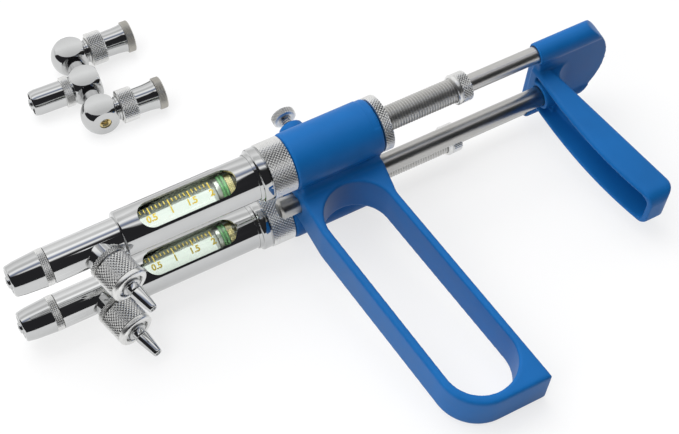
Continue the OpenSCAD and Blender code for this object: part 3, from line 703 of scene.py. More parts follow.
def grain_group() -> bpy.types.NodeTree:
    """Builds the group for fine grain and handling marks.

    Returns:
        The group: it gives a mottling mask, a roughness and a height.
    """
    group, nodes, given, out = new_group(
        "handled_grain",
        (("Grain Scale", 900), ("Mark Scale", 60), ("Low", 0.1), ("High", 0.2), ("Stretch", 1)),
        ("Mask", "Roughness", "Height"),
    )
    place = nodes.add("ShaderNodeTexCoord")
    stretch = nodes.add("ShaderNodeCombineXYZ", {1: 1.0, 2: 1.0})
    scaled = nodes.add("ShaderNodeVectorMath", operation="MULTIPLY")
    grain = nodes.add("ShaderNodeTexNoise", {"Detail": 2.0})
    marks = nodes.add("ShaderNodeTexNoise", {"Detail": 5.0, "Roughness": 0.6})
    spread = nodes.add("ShaderNodeMapRange", {"From Min": 0.3, "From Max": 0.7})
    nodes.link(
        (given.outputs["Stretch"], stretch.inputs[0]),
        (place.outputs["Object"], scaled.inputs[0]), (stretch.outputs[0], scaled.inputs[1]),
        (scaled.outputs[0], grain.inputs["Vector"]), (place.outputs["Object"], marks.inputs["Vector"]),
        (given.outputs["Grain Scale"], grain.inputs["Scale"]),
        (given.outputs["Mark Scale"], marks.inputs["Scale"]), (marks.outputs["Fac"], spread.inputs["Value"]),
        (given.outputs["Low"], spread.inputs["To Min"]), (given.outputs["High"], spread.inputs["To Max"]),
        (spread.outputs["Result"], out.inputs["Roughness"]), (marks.outputs["Fac"], out.inputs["Mask"]),
        (grain.outputs["Fac"], out.inputs["Height"]),
    )
    return group


def edge_wear_and_shade_group() -> bpy.types.NodeTree:
    """Builds the group that finds raised edges, for rubbing and a painted highlight, and recesses, for
    painted shade.

    Returns:
        The group: it gives a mask of raised edges, for rubbing and a painted highlight, and one of recesses
            and creases, for painted shade.
    """
    group, nodes, given, out = new_group(
        "edge_wear_and_hollow_shade",
        (("Edge Start", 0.52), ("Edge End", 0.6), ("Break Up", 0.5)),
        ("Edges", "Hollow Shade"),
    )
    shape = nodes.add("ShaderNodeNewGeometry")
    place = nodes.add("ShaderNodeTexCoord")
    noise = nodes.add("ShaderNodeTexNoise", {"Scale": 400.0, "Detail": 3.0})
    # Raised edges get rubbing and a painted highlight; recesses, below a pointiness of 0.48, get painted
    # shade.
    edges = nodes.add("ShaderNodeMapRange")
    hollow_shade = nodes.add("ShaderNodeMapRange", {"From Min": 0.48, "From Max": 0.4})
    broken = nodes.add("ShaderNodeMix", {"A": 1.0})
    masked = nodes.add("ShaderNodeMath", operation="MULTIPLY")
    nodes.link(
        (shape.outputs["Pointiness"], edges.inputs["Value"]),
        (shape.outputs["Pointiness"], hollow_shade.inputs["Value"]),
        (given.outputs["Edge Start"], edges.inputs["From Min"]),
        (given.outputs["Edge End"], edges.inputs["From Max"]),
        (place.outputs["Object"], noise.inputs["Vector"]),
        (given.outputs["Break Up"], broken.inputs["Factor"]),
        (noise.outputs["Fac"], broken.inputs["B"]), (edges.outputs["Result"], masked.inputs[0]),
        (broken.outputs["Result"], masked.inputs[1]), (masked.outputs[0], out.inputs["Edges"]),
        (hollow_shade.outputs["Result"], out.inputs["Hollow Shade"]),
    )
    return group


def named_material(name: str) -> tuple[bpy.types.Material, bool]:
    """Finds a material, or starts it with nodes.

    Args:
        name: Its name.

    Returns:
        The material, and True where it has just been started.
    """
    found = bpy.data.materials.get(name)
    material = found or bpy.data.materials.new(name)
    material.use_nodes = True
    return material, not found


@dataclass(frozen=True)
class Finish:
    """One finish: its colours, metal, roughness, grain and a slot name."""

    name: str
    slot: str
    colour: Colour
    # edge is a lighter colour for raised edges: partly rubbing, partly a painted highlight. hollow is a
    # darker colour for recesses and creases: painted shade.
    edge: Colour
    hollow: Colour
    metallic: float = 1.0
    low: float = 0.05
    high: float = 0.12
    grain_scale: float = 900.0
    mark_scale: float = 60.0
    stretch: float = 1.0
    bump: float = 0.02
    mottle: float = 0.05
    edge_start: float = 0.52
    edge_end: float = 0.62
    plain: dict[str, float] = field(default_factory=dict)

    def material(self) -> bpy.types.Material:
        """Builds the finish once and returns it after that.

        Returns:
            The material.
        """
        material, fresh = named_material(self.name)
        if not fresh:
            return material
        nodes = Nodes(material.node_tree)
        shader = material.node_tree.nodes["Principled BSDF"]
        shader.inputs["Metallic"].default_value = self.metallic
        for socket, value in self.plain.items():
            shader.inputs[socket].default_value = value
        grain = nodes.add("ShaderNodeGroup", node_tree=bpy.data.node_groups["handled_grain"])
        wear_and_shade = nodes.add("ShaderNodeGroup", node_tree=bpy.data.node_groups["edge_wear_and_hollow_shade"])
        for socket, value in (
            ("Grain Scale", self.grain_scale), ("Mark Scale", self.mark_scale), ("Low", self.low),
            ("High", self.high), ("Stretch", self.stretch),
        ):
            grain.inputs[socket].default_value = value
        wear_and_shade.inputs["Edge Start"].default_value = self.edge_start
        wear_and_shade.inputs["Edge End"].default_value = self.edge_end
        darker = tuple(c * (1 - self.mottle) for c in self.colour)
        lighter = tuple(min(1, c * (1 + self.mottle)) for c in self.colour)
        base = nodes.ramp(grain.outputs["Mask"], ((0.35, darker), (0.65, lighter)))
        # Painted shade darkens recesses and creases, then raised edges get a lighter colour for rubbing and
        # a painted highlight.
        shaded_in_recesses = nodes.blend(wear_and_shade.outputs["Hollow Shade"], base, self.hollow)
        rubbed_and_highlit = nodes.blend(wear_and_shade.outputs["Edges"], shaded_in_recesses, self.edge)
        bump = nodes.add("ShaderNodeBump", {"Strength": self.bump, "Distance": GRAIN_HEIGHT})
        nodes.link(
            (rubbed_and_highlit, shader.inputs["Base Color"]), (grain.outputs["Roughness"], shader.inputs["Roughness"]),
            (grain.outputs["Height"], bump.inputs["Height"]),
            (bump.outputs["Normal"], shader.inputs["Normal"]),
        )
        return material


# Each finish gives its own colour, then a lighter colour for raised edges, which is rubbing and a painted
# highlight, then a darker colour for recesses, which is painted shade.
BLUE = Finish(
    "moulded_blue", "blue_plastic", (0.007, 0.118, 0.365), (0.016, 0.155, 0.430), (0.007, 0.072, 0.250),
    metallic=0.0, low=0.38, high=0.50, grain_scale=1500, mark_scale=35, bump=0.05, mottle=0.07,
    edge_start=0.53, edge_end=0.62, plain={"Specular IOR Level": 0.15, "IOR": 1.45},
)
CHROME = Finish(
    "polished_chrome", "chrome", (0.55, 0.555, 0.555), (0.66, 0.665, 0.665), (0.25, 0.25, 0.255),
    low=0.03, high=0.07, grain_scale=700, mark_scale=45, bump=0.006, mottle=0.03,
)
# The knurled bands are the same chrome as the polished parts; their lighter colour is painted light that
# makes up for the dark their facets reflect.
KNURLED_LIGHTENED = Finish(
    "knurled_chrome_lightened", "chrome", (0.74, 0.74, 0.73), (0.90, 0.90, 0.88), (0.30, 0.30, 0.30),
    low=0.30, high=0.38, grain_scale=1200, mark_scale=90, bump=0.02, mottle=0.06,
    edge_start=0.5, edge_end=0.58,
)
MATTE = Finish(
    "matte_nickel", "chrome", (0.42, 0.405, 0.37), (0.55, 0.53, 0.49), (0.17, 0.16, 0.145),
    low=0.26, high=0.36, grain_scale=1500, mark_scale=80, bump=0.04, mottle=0.08,
)
STEEL = Finish(
    "turned_steel", "steel", (0.46, 0.455, 0.44), (0.58, 0.575, 0.56), (0.20, 0.20, 0.19),
    low=0.28, high=0.38, grain_scale=1600, mark_scale=50, stretch=0.06, bump=0.03, mottle=0.08,
)
THREAD = Finish(
    "cut_thread", "steel", (0.58, 0.575, 0.56), (0.72, 0.715, 0.70), (0.22, 0.22, 0.21),
    low=0.36, high=0.46, grain_scale=1200, mark_scale=60, bump=0.02, mottle=0.06,
)
SPRING = Finish(
    "spring_steel", "steel", (0.36, 0.36, 0.36), (0.55, 0.55, 0.55), (0.18, 0.18, 0.18),
    low=0.2, high=0.3, bump=0.02, mottle=0.06,
)
BRASS = Finish(
    "brass", "brass", (0.62, 0.42, 0.13), (0.80, 0.62, 0.28), (0.26, 0.16, 0.05),
    low=0.14, high=0.26, bump=0.02, mottle=0.10,
)
GREEN = Finish(
    "green_rubber", "green_rubber", (0.045, 0.20, 0.05), (0.08, 0.28, 0.08), (0.02, 0.10, 0.03),
    metallic=0.0, low=0.35, high=0.5, bump=0.05, mottle=0.10,
)
BLACK = Finish(
    "black_rubber", "black_rubber", (0.018, 0.018, 0.018), (0.035, 0.035, 0.035), (0.01, 0.01, 0.01),
    metallic=0.0, low=0.45, high=0.6, bump=0.05, mottle=0.10,
)
# The bore gets little light behind the glass, so its colour is made light and only a little metallic:
# painted light.
BORE_PAINTED_LIGHT = Finish(
    "satin_bore_painted_light", "chrome", (0.70, 0.70, 0.60), (0.78, 0.78, 0.68), (0.45, 0.45, 0.38),
    metallic=0.1, low=0.45, high=0.55, grain_scale=1500, mark_scale=80, bump=0.03, mottle=0.08,
)
INK = Finish(
    "yellow_scale_ink", "glass", (0.78, 0.60, 0.045), (0.84, 0.66, 0.08), (0.66, 0.50, 0.04),
    metallic=0.0, low=0.4, high=0.55, bump=0.03, mottle=0.12,
)


class Glass:
    """The clear glass of the cylinders."""

    name = "clear_glass"
    slot = "glass"

    def material(self) -> bpy.types.Material:
        """Builds the glass once and returns it after that.

        Returns:
            The material.
        """
        material, fresh = named_material(self.name)
        if not fresh:
            return material
        nodes = Nodes(material.node_tree)
        shader = material.node_tree.nodes["Principled BSDF"]
        for socket, value in (("Metallic", 0.0), ("Transmission Weight", 1.0), ("IOR", 1.47)):
            shader.inputs[socket].default_value = value
        grain = nodes.add("ShaderNodeGroup", node_tree=bpy.data.node_groups["handled_grain"])
        for socket, value in (("Mark Scale", 80.0), ("Low", 0.0), ("High", 0.03)):
            grain.inputs[socket].default_value = value
        tint = nodes.ramp(grain.outputs["Mask"], ((0.3, (0.90, 0.97, 0.91)), (0.7, (0.95, 0.99, 0.95))))
        nodes.link(
            (tint, shader.inputs["Base Color"]), (grain.outputs["Roughness"], shader.inputs["Roughness"])
        )
        return material


GLASS = Glass()


# Pieces


class Bench:
    """Turns finished shapes into pieces that ride on their bodies, and keeps count of them."""

    def __init__(self) -> None:
        """Starts with no pieces."""
        self.count = 0
        self.faces = 0

    def piece(
        self, name: str, bm: bmesh.types.BMesh, place: Matrix, body: str, finish: Finish | Glass,
        replaces: Sequence[str] = (), sharp: float = 30.0, second: Finish | None = None,
    ) -> bpy.types.Object:
        """Makes a piece of a shape.

        Args:
            name: The piece's name.
            bm: The shape, which is freed.
            place: The matrix to the frame.
            body: The body that the piece rides on.
            finish: Its finish.
            replaces: CAD nodes that it stands for.
            sharp: Angle in degrees past which an edge stays sharp.
            second: Finish of the faces marked with a 1, where they have one of their own.

        Returns:
            The piece.
        """
        moved(bm, place)
        if not second:
            for face in bm.faces:
                face.material_index = 0
        mesh = bpy.data.meshes.new(name)
        bm.to_mesh(mesh)
        bm.free()
        mesh.shade_smooth()
        mesh.set_sharp_from_angle(angle=math.radians(sharp))
        mesh.materials.append(finish.material())
        if second:
            mesh.materials.append(second.material())
        piece = bpy.data.objects.new(name, mesh)
        bpy.context.scene.collection.objects.link(piece)
        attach(piece, body)
        if replaces:
            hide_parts(*replaces)
        self.count += 1
        self.faces += len(mesh.polygons)
        log.info("%s: %d faces on %s", name, len(mesh.polygons), body)
        return piece


@dataclass(frozen=True)
class Coil:
    """A coil spring wound between two stations."""

    start: float
    end: float
    turns: int
    radius: float
    wire: float

    def make(self) -> bmesh.types.BMesh:
        """Winds the wire.

        Returns:
            The closed shape.
        """
        steps = 32 * self.turns
        rise = self.end - self.start - 2 * self.wire
        bm = bmesh.new()
        bmesh.ops.create_circle(bm, segments=10, radius=self.wire)
        upright = Matrix.Rotation(TAU / 4, 4, "X")
        moved(bm, Matrix.Translation((self.start + self.wire, 0, self.radius)) @ upright)
        bmesh.ops.spin(
            bm, geom=bm.verts[:] + bm.edges[:], cent=(0, 0, 0), axis=(1, 0, 0), dvec=(rise / steps, 0, 0),
            angle=TAU * self.turns, steps=steps, use_merge=False, use_duplicate=False,
        )
        bmesh.ops.holes_fill(bm, edges=[e for e in bm.edges if e.is_boundary], sides=0)
        bmesh.ops.recalc_face_normals(bm, faces=bm.faces)
        return bm

    def fit(
        self, bench: Bench, name: str, place: Matrix, joint: str, travel: float, node: str
    ) -> None:
        """Makes the spring a piece of the syringe.

        Args:
            bench: Where pieces are made.
            name: The piece's name.
            place: The matrix to the frame.
            joint: The joint that presses it; not used.
            travel: How far the joint presses it, in millimetres; not used.
            node: The CAD node that it stands for.
        """
        piece = bench.piece(name, self.make(), place, "syringe", SPRING, (node,), 60)
        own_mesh(piece)


@dataclass
class Line:
    """What the two halves of a barrel's line share: its side, its axis and the names of its pieces."""

    bench: Bench
    side: Side

    @property
    def place(self) -> Matrix:
        """The barrel's matrix."""
        return REST.barrel(self.side)

    @property
    def word(self) -> str:
        """The barrel's name."""
        return self.side.word

    def own_body(self, kind: str) -> str:
        """The name of the body of a piece that turns by itself."""
        return f"{kind}_{self.word}_part"

    def stand_in(
        self, kind: str, bm: bmesh.types.BMesh, body: str, finish: Finish | Glass,
        place: Matrix | None = None, sharp: float = 30.0, second: Finish | None = None,
    ) -> None:
        """Makes the piece that stands for the barrel's CAD node of the same kind.

        Args:
            kind: The node's name without the barrel's.
            bm: The shape, which is freed.
            body: The body that the piece rides on.
            finish: Its finish.
            place: The matrix to the frame, where it isn't the barrel's.
            sharp: Angle in degrees past which an edge stays sharp.
            second: Finish of the faces marked with a 1.
        """
        node = f"{kind}_{self.word}"
        self.bench.piece(
            f"{self.word}_{kind}", bm, place or self.place, body, finish, (node,), sharp, second
        )


@dataclass
class Barrel(Line):
    """One barrel from its nozzle to its collar nut, with the inlet on it."""

    front_r: float = 6.15
    sleeve_r: float = 7.7
    sleeve_bore_r: float = 6.3
    flange_r: float = 8.4
    luer_front: float = -97.35
    nozzle_front: float = -96.55
    band_front: float = -86.05
    body_front: float = -83.45
    sleeve_front: float = -59.55
    body_rear: float = -56.3
    glass_front: float = -55.5
    glass_rear: float = -14.9
    flange_front: float = -10.55
    flange_rear: float = -8.65
    collar_front: float = -13.0
    collar_rear: float = -0.1
    window_rear: float = -19.1
    window_len: float = 33.7
    window_w: float = 9.1
    window_turn: float = 10.5
    glass_r: float = 6.0
    glass_bore_r: float = 4.8
    window_rim: float = 0.42
    branch_r: float = 5.4
    branch_len: float = 15.0
    branch_bore_r: float = 3.4
    seat_front: float = 6.9
    seat_r: float = 6.56
    skirt_depth: float = 5.8
    socket_len: float = 6.0
    socket_r: float = 4.9
    port_r: float = 1.1
    scale_zero: float = -55.6
    scale_step: float = 1.39
    number_size: float = 3.0
    ink: float = 0.03
    valve_lift: float = 1.2
    stroke: float = 27.0
    outlet_coil: Coil = Coil(start=-88.767, end=-78.7, turns=4, radius=1.9, wire=0.22)
    inlet_coil: Coil = Coil(start=8.65, end=13.75, turns=4, radius=1.9, wire=0.22)
    return_coil: Coil = Coil(start=-12.55, end=22.65, turns=8, radius=4.6, wire=0.45)

    def build(self) -> None:
        """Makes every piece of the barrel."""
        self.nozzle()
        self.front_body()
        self.inlet()
        self.sleeve()
        self.glass()
        self.scale()
        self.collar_nut()
        self.springs()

    def nozzle(self) -> None:
        """Makes the nozzle with its luer cone in the thread skirt."""
        x, band, rear = self.nozzle_front, self.band_front, self.body_front
        floor, end = x + self.skirt_depth, rear + self.socket_len
        shell = Turning(sides=96, depth=0.2).make(
            Profile(floor, 0)
            .to((floor, 4.0), (x, 4.0), (x, 4.75), (x + 0.45, 5.15), (x + 3.2, 5.62), (band - 0.35, 6.1))
            .to((band, 6.1), (band, 6.0)).knurl(rear - 0.25, 0.8)
            .to((rear - 0.05, 5.9), (rear - 0.05, self.socket_r), (end, self.socket_r))
            .to((end, 3.4), (floor + 2, 3.4), (floor + 2, 0))
        )
        nozzle = joined(shell, *luer(floor + 0.5, x, self.luer_front))
        self.stand_in("nozzle", nozzle, self.own_body("nozzle"), CHROME, second=KNURLED_LIGHTENED)

    def front_body(self) -> None:
        """Makes the front body with its inlet branch."""
        front, rear = self.body_front, self.body_rear
        tube = rod(front, rear, self.front_r, 96)
        branch = moved(
            Turning(sides=72, soft=0.1).make(
                Profile(0, 0).to((0, self.branch_r), (self.branch_len, self.branch_r))
                .to((self.branch_len, self.branch_bore_r), (10, self.branch_bore_r), (10, 0))
            ),
            REST.branch(),
        )
        seat = moved(rod(self.seat_front, self.branch_len, self.seat_r, 72), REST.branch())
        tube = combined(tube, seat, Operation.DIFFERENCE)
        body = combined(tube, branch, Operation.UNION)
        socket = rod(front - 1, front + self.socket_len + 0.1, self.socket_r + 0.06, 48)
        body = combined(body, socket, Operation.DIFFERENCE)
        body = combined(body, rod(front, rear + 1, self.port_r, 24), Operation.DIFFERENCE)
        self.stand_in("front_body", body, "syringe", CHROME)

    def inlet(self) -> None:
        """Makes the knurled ring, the union nut and the hose nipple."""
        place = REST.inlet(self.side)
        ring = KnurledRing(
            front=self.seat_front, rear=8.6, bore_r=5.46, rim_r=6.0, band_r=6.25,
            lead=0.2, run_out=0.2, pitch=0.65,
        )
        shape = Turning(sides=76, depth=0.24).make(ring.profile())
        self.stand_in("inlet_ring", shape, "syringe", KNURLED_LIGHTENED, place)
        nut = Turning(sides=64, depth=0.34).make(
            Profile(9.0, 5.5).to((9.0, 5.9), (9.25, 6.12)).knurl(17.0, 1.3)
            .to((17.15, 6.12), (17.3, 6.4), (18.5, 6.4), (18.95, 6.2), (19.2, 5.7), (19.3, 4.7))
            .to((19.1, 4.4), (16.2, 4.4), (16.2, 5.5)).loop()
        )
        self.stand_in("union_nut", nut, self.own_body("union_nut"), KNURLED_LIGHTENED, place)
        nipple = Turning(sides=72, soft=0.1).make(
            Profile(15.05, 0.9)
            .to((15.05, 5.34), (16.15, 5.34), (16.15, 4.2), (18.4, 4.2), (18.4, 3.2), (19.5, 3.2))
            .to((19.5, 2.2), (21.4, 2.2), (21.7, 2.42), (28.9, 1.6), (29.4, 1.5), (29.7, 1.35))
            .to((29.7, 0.9)).loop()
        )
        self.stand_in("hose_nipple", nipple, "syringe", CHROME, place)

    def sleeve(self) -> None:
        """Makes the window sleeve with its two windows."""
        x, slot = self.sleeve_front, self.window_w / 2
        outer, bore, neck = self.sleeve_r, self.sleeve_bore_r, self.front_r + 0.04
        tube = Turning(sides=96, soft=0.15).make(
            Profile(x, neck).to((x, outer - 0.45), (x + 0.45, outer), (self.flange_front, outer))
            .to((self.flange_front, self.flange_r), (self.flange_rear, self.flange_r))
            .to((self.flange_rear, bore), (x + 1.6, bore), (x + 1.6, neck)).loop()
        )
        rear = Vector((self.window_rear - slot, 0))
        front = Vector((self.window_rear - self.window_len + slot, 0))
        outline = arc(rear, slot, -90, 90, 20) + arc(front, slot, 90, 270, 20)
        turn = Matrix.Rotation(math.radians(self.window_turn), 4, "X")
        cutter = moved(prism(outline, 2 * outer + 4), turn)
        cut = combined(tube, cutter, Operation.DIFFERENCE)
        rims = [e for e in cut.edges if self._on_window(e, front.x, rear.x, slot)]
        softened(cut, rims, self.window_rim, 3)
        # Inward faces take the bore finish, whose light colour is painted light.
        for face in cut.faces:
            middle = face.calc_center_median()
            out = Vector((0, middle.y, middle.z)).normalized()
            face.material_index = int(face.normal.dot(out) < -0.6)
        self.stand_in("window_sleeve", cut, "syringe", CHROME, sharp=40, second=BORE_PAINTED_LIGHT)

    def _on_window(self, edge: bmesh.types.BMEdge, front: float, rear: float, slot: float) -> bool:
        """Tells whether an edge is a sharp rim of a window.

        Args:
            edge: The edge.
            front: Station of the front round's centre.
            rear: Station of the rear round's centre.
            slot: Radius of the rounds.

        Returns:
            True if it is.
        """
        if len(edge.link_faces) != 2 or edge.calc_face_angle(0) < math.radians(35):
            return False
        back = Matrix.Rotation(math.radians(-self.window_turn), 3, "X")
        for vert in edge.verts:
            flat = back @ vert.co
            axis = Vector((min(max(flat.x, front), rear), 0))
            if abs((Vector((flat.x, flat.y)) - axis).length - slot) > 0.05:
                return False
        return True

    def glass(self) -> None:
        """Makes the glass cylinder."""
        tube = Turning(sides=96, soft=0.2).make(
            Profile(self.glass_front, self.glass_bore_r).to((self.glass_front, self.glass_r))
            .to((self.glass_rear, self.glass_r), (self.glass_rear, self.glass_bore_r)).loop()
        )
        self.stand_in("glass_cylinder", tube, "syringe", GLASS, sharp=40)

    def scale(self) -> None:
        """Prints the scale on the glass: a tick each tenth of a millilitre and a number each half."""
        marks = []
        for n in range(1, 21):
            x = self.scale_zero + n * self.scale_step
            major = n % 5 == 0
            length = 2.6 if major else 1.5
            bm = bmesh.new()
            bmesh.ops.create_grid(bm, x_segments=1, y_segments=8, size=0.5)
            bmesh.ops.scale(bm, vec=(0.36 if major else 0.28, length, 1), verts=bm.verts)
            bmesh.ops.translate(bm, vec=(x, 3.2 - length / 2, 0), verts=bm.verts)
            marks.append(bm)
            if major:
                marks.append(self._number(f"{n / 10:g}", x, -0.9))
        flat = joined(*marks)
        print_r = self.glass_r + 0.02
        for vert in flat.verts:
            angle = vert.co.y / self.glass_r
            vert.co = (vert.co.x, print_r * math.sin(angle), print_r * math.cos(angle))
        bmesh.ops.solidify(flat, geom=flat.faces[:], thickness=self.ink)
        turn = Matrix.Rotation(math.radians(self.window_turn + 4), 4, "X")
        self.bench.piece(f"{self.word}_printed_scale", flat, self.place @ turn, "syringe", INK, (), 40)

    def _number(self, words: str, x: float, y: float) -> bmesh.types.BMesh:
        """Makes a flat number.

        Args:
            words: The number.
            x: Station of its middle.
            y: Height of its middle round the glass.

        Returns:
            The flat shape.
        """
        curve = bpy.data.curves.new("number", "FONT")
        curve.body = words
        curve.size = self.number_size
        curve.align_x, curve.align_y = "CENTER", "CENTER"
        curve.offset = 0.11
        curve.resolution_u = 6
        holder = bpy.data.objects.new("number", curve)
        bpy.context.scene.collection.objects.link(holder)
        graph = bpy.context.evaluated_depsgraph_get()
        mesh = bpy.data.meshes.new_from_object(holder.evaluated_get(graph))
        bm = bmesh.new()
        bm.from_mesh(mesh)
        bpy.data.meshes.remove(mesh)
        bpy.data.objects.remove(holder)
        bpy.data.curves.remove(curve)
        bmesh.ops.remove_doubles(bm, verts=bm.verts, dist=1e-4)
        bmesh.ops.translate(bm, vec=(x, y, 0), verts=bm.verts)
        return bm

    def collar_nut(self) -> None:
        """Makes the collar nut, polished in front and knurled behind."""
        x, rear = self.collar_front, self.collar_rear
        nut = Turning(sides=104, depth=0.3, soft=0.12).make(
            Profile(x, 7.78)
            .to((x, 8.2), (x + 1.1, 8.3), (x + 1.25, 9.0), (x + 1.6, 9.2), (x + 4.0, 9.2))
            .to((x + 4.15, 8.85), (x + 4.45, 8.85), (x + 4.6, 9.2)).knurl(rear - 0.3, 1.2)
            .to((rear, 8.9), (rear, 8.46), (x + 2.4, 8.46), (x + 2.4, 7.78)).loop()
        )
        self.stand_in("collar_nut", nut, self.own_body("collar_nut"), CHROME, second=KNURLED_LIGHTENED)

    def springs(self) -> None:
        """Makes the springs behind the outlet and inlet valves and round the rod."""
        word = self.word
        inlet = REST.inlet(self.side)
        for kind, coil, place, joint, travel in (
            ("outlet", self.outlet_coil, self.place, f"outlet_valve_lift_{word}", self.valve_lift),
            ("inlet", self.inlet_coil, inlet, f"inlet_valve_lift_{word}", self.valve_lift),
            ("return", self.return_coil, self.place, "squeeze", self.stroke),
        ):
            coil.fit(self.bench, f"{word}_{kind}_coil", place, joint, travel, f"{kind}_spring_{word}")


@dataclass
class Plunger(Line):
    """The parts of one barrel that move: piston, rod, dose sleeve, knob and lock disc."""

    piston_front: float = -26.2
    rod_rear: float = 115.6
    disc_front: float = 31.95
    disc_rear: float = 35.5
    knob_front: float = 62.6
    knob_rear: float = 68.3
    dose_front: float = 30.4
    dose_r: float = 4.28
    dose_bore_r: float = 4.36
    dose_pitch: float = 1.0
    rod_r: float = 3.0
    ring_r: float = 4.18
    ring_wire: float = 0.55

    def build(self) -> None:
        """Makes every moving piece of the barrel."""
        self.piston()
        self.dose()
        self.lock_disc()

    def piston(self) -> None:
        """Makes the piston head, its rings and nut, and the rod."""
        x = self.piston_front
        head = Turning(sides=64).make(
            Profile(x, 0).to((x, 4.3), (x + 0.4, 4.72), (x + 1.7, 4.72), (x + 1.7, 3.6))
            .to((x + 4.15, 3.6), (x + 4.15, 0))
        )
        self.stand_in("piston_head", head, "plunger", STEEL)
        rings = [self._ring(x + 1.7 + n * 2.5 / 4) for n in (1, 3)]
        self.stand_in("piston_rings", joined(*rings), "plunger", GREEN, sharp=60)
        nut = Turning(sides=64, depth=0.15).make(
            Profile(x + 4.2, 0).to((x + 4.2, 4.1)).knurl(x + 6.2, 0.8)
            .to((x + 7.2, 3.5), (x + 7.2, 3.05), (x + 5.7, 3.05), (x + 5.7, 0))
        )
        self.stand_in("piston_nut", nut, "plunger", BRASS)
        bar = rod(x + 5.75, self.rod_rear, self.rod_r, 64)
        self.stand_in("piston_rod", bar, "plunger", STEEL)

    def _ring(self, x: float) -> bmesh.types.BMesh:
        """Makes one sealing ring.

        Args:
            x: Its station.

        Returns:
            The closed shape.
        """
        bm = bmesh.new()
        bmesh.ops.create_circle(bm, segments=16, radius=self.ring_wire)
        moved(bm, Matrix.Translation((x, 0, self.ring_r)) @ Matrix.Rotation(TAU / 4, 4, "X"))
        bmesh.ops.spin(
            bm, geom=bm.verts[:] + bm.edges[:], cent=(0, 0, 0), axis=(1, 0, 0), angle=TAU, steps=64,
            use_merge=True,
        )
        bmesh.ops.recalc_face_normals(bm, faces=bm.faces)
        return bm

    def dose(self) -> None:
        """Makes the dose sleeve and its knob."""
        sleeve = thread(self.dose_front, self.knob_front + 3.2, self.dose_r, self.dose_pitch, 0.42, 48)
        self.stand_in("dose_sleeve", sleeve, self.own_body("dose_sleeve"), THREAD, sharp=25)
        x, rear, bore = self.knob_front, self.knob_rear, self.dose_bore_r
        knob = Turning(sides=64, depth=0.28).make(
            Profile(x, bore)
            .to((x, 4.95), (x + 0.4, 5.35), (x + 1.3, 5.35), (x + 1.6, 4.9), (x + 1.95, 5.05))
            .knurl(rear - 0.45, 1.0).to((rear, 4.6), (rear, 3.3), (x + 3.25, 3.3), (x + 3.25, bore)).loop()
        )
        self.stand_in("dose_knob", knob, self.own_body("dose_knob"), KNURLED_LIGHTENED)

    def lock_disc(self) -> None:
        """Makes the lock disc."""
        disc = KnurledRing(
            front=self.disc_front, rear=self.disc_rear, bore_r=self.dose_bore_r, rim_r=9.0, band_r=9.34,
            lead=0.25, run_out=0.3, pitch=1.1,
        )
        shape = Turning(sides=108, depth=0.34).make(disc.profile())
        self.stand_in("lock_disc", shape, self.own_body("lock_disc"), KNURLED_LIGHTENED)


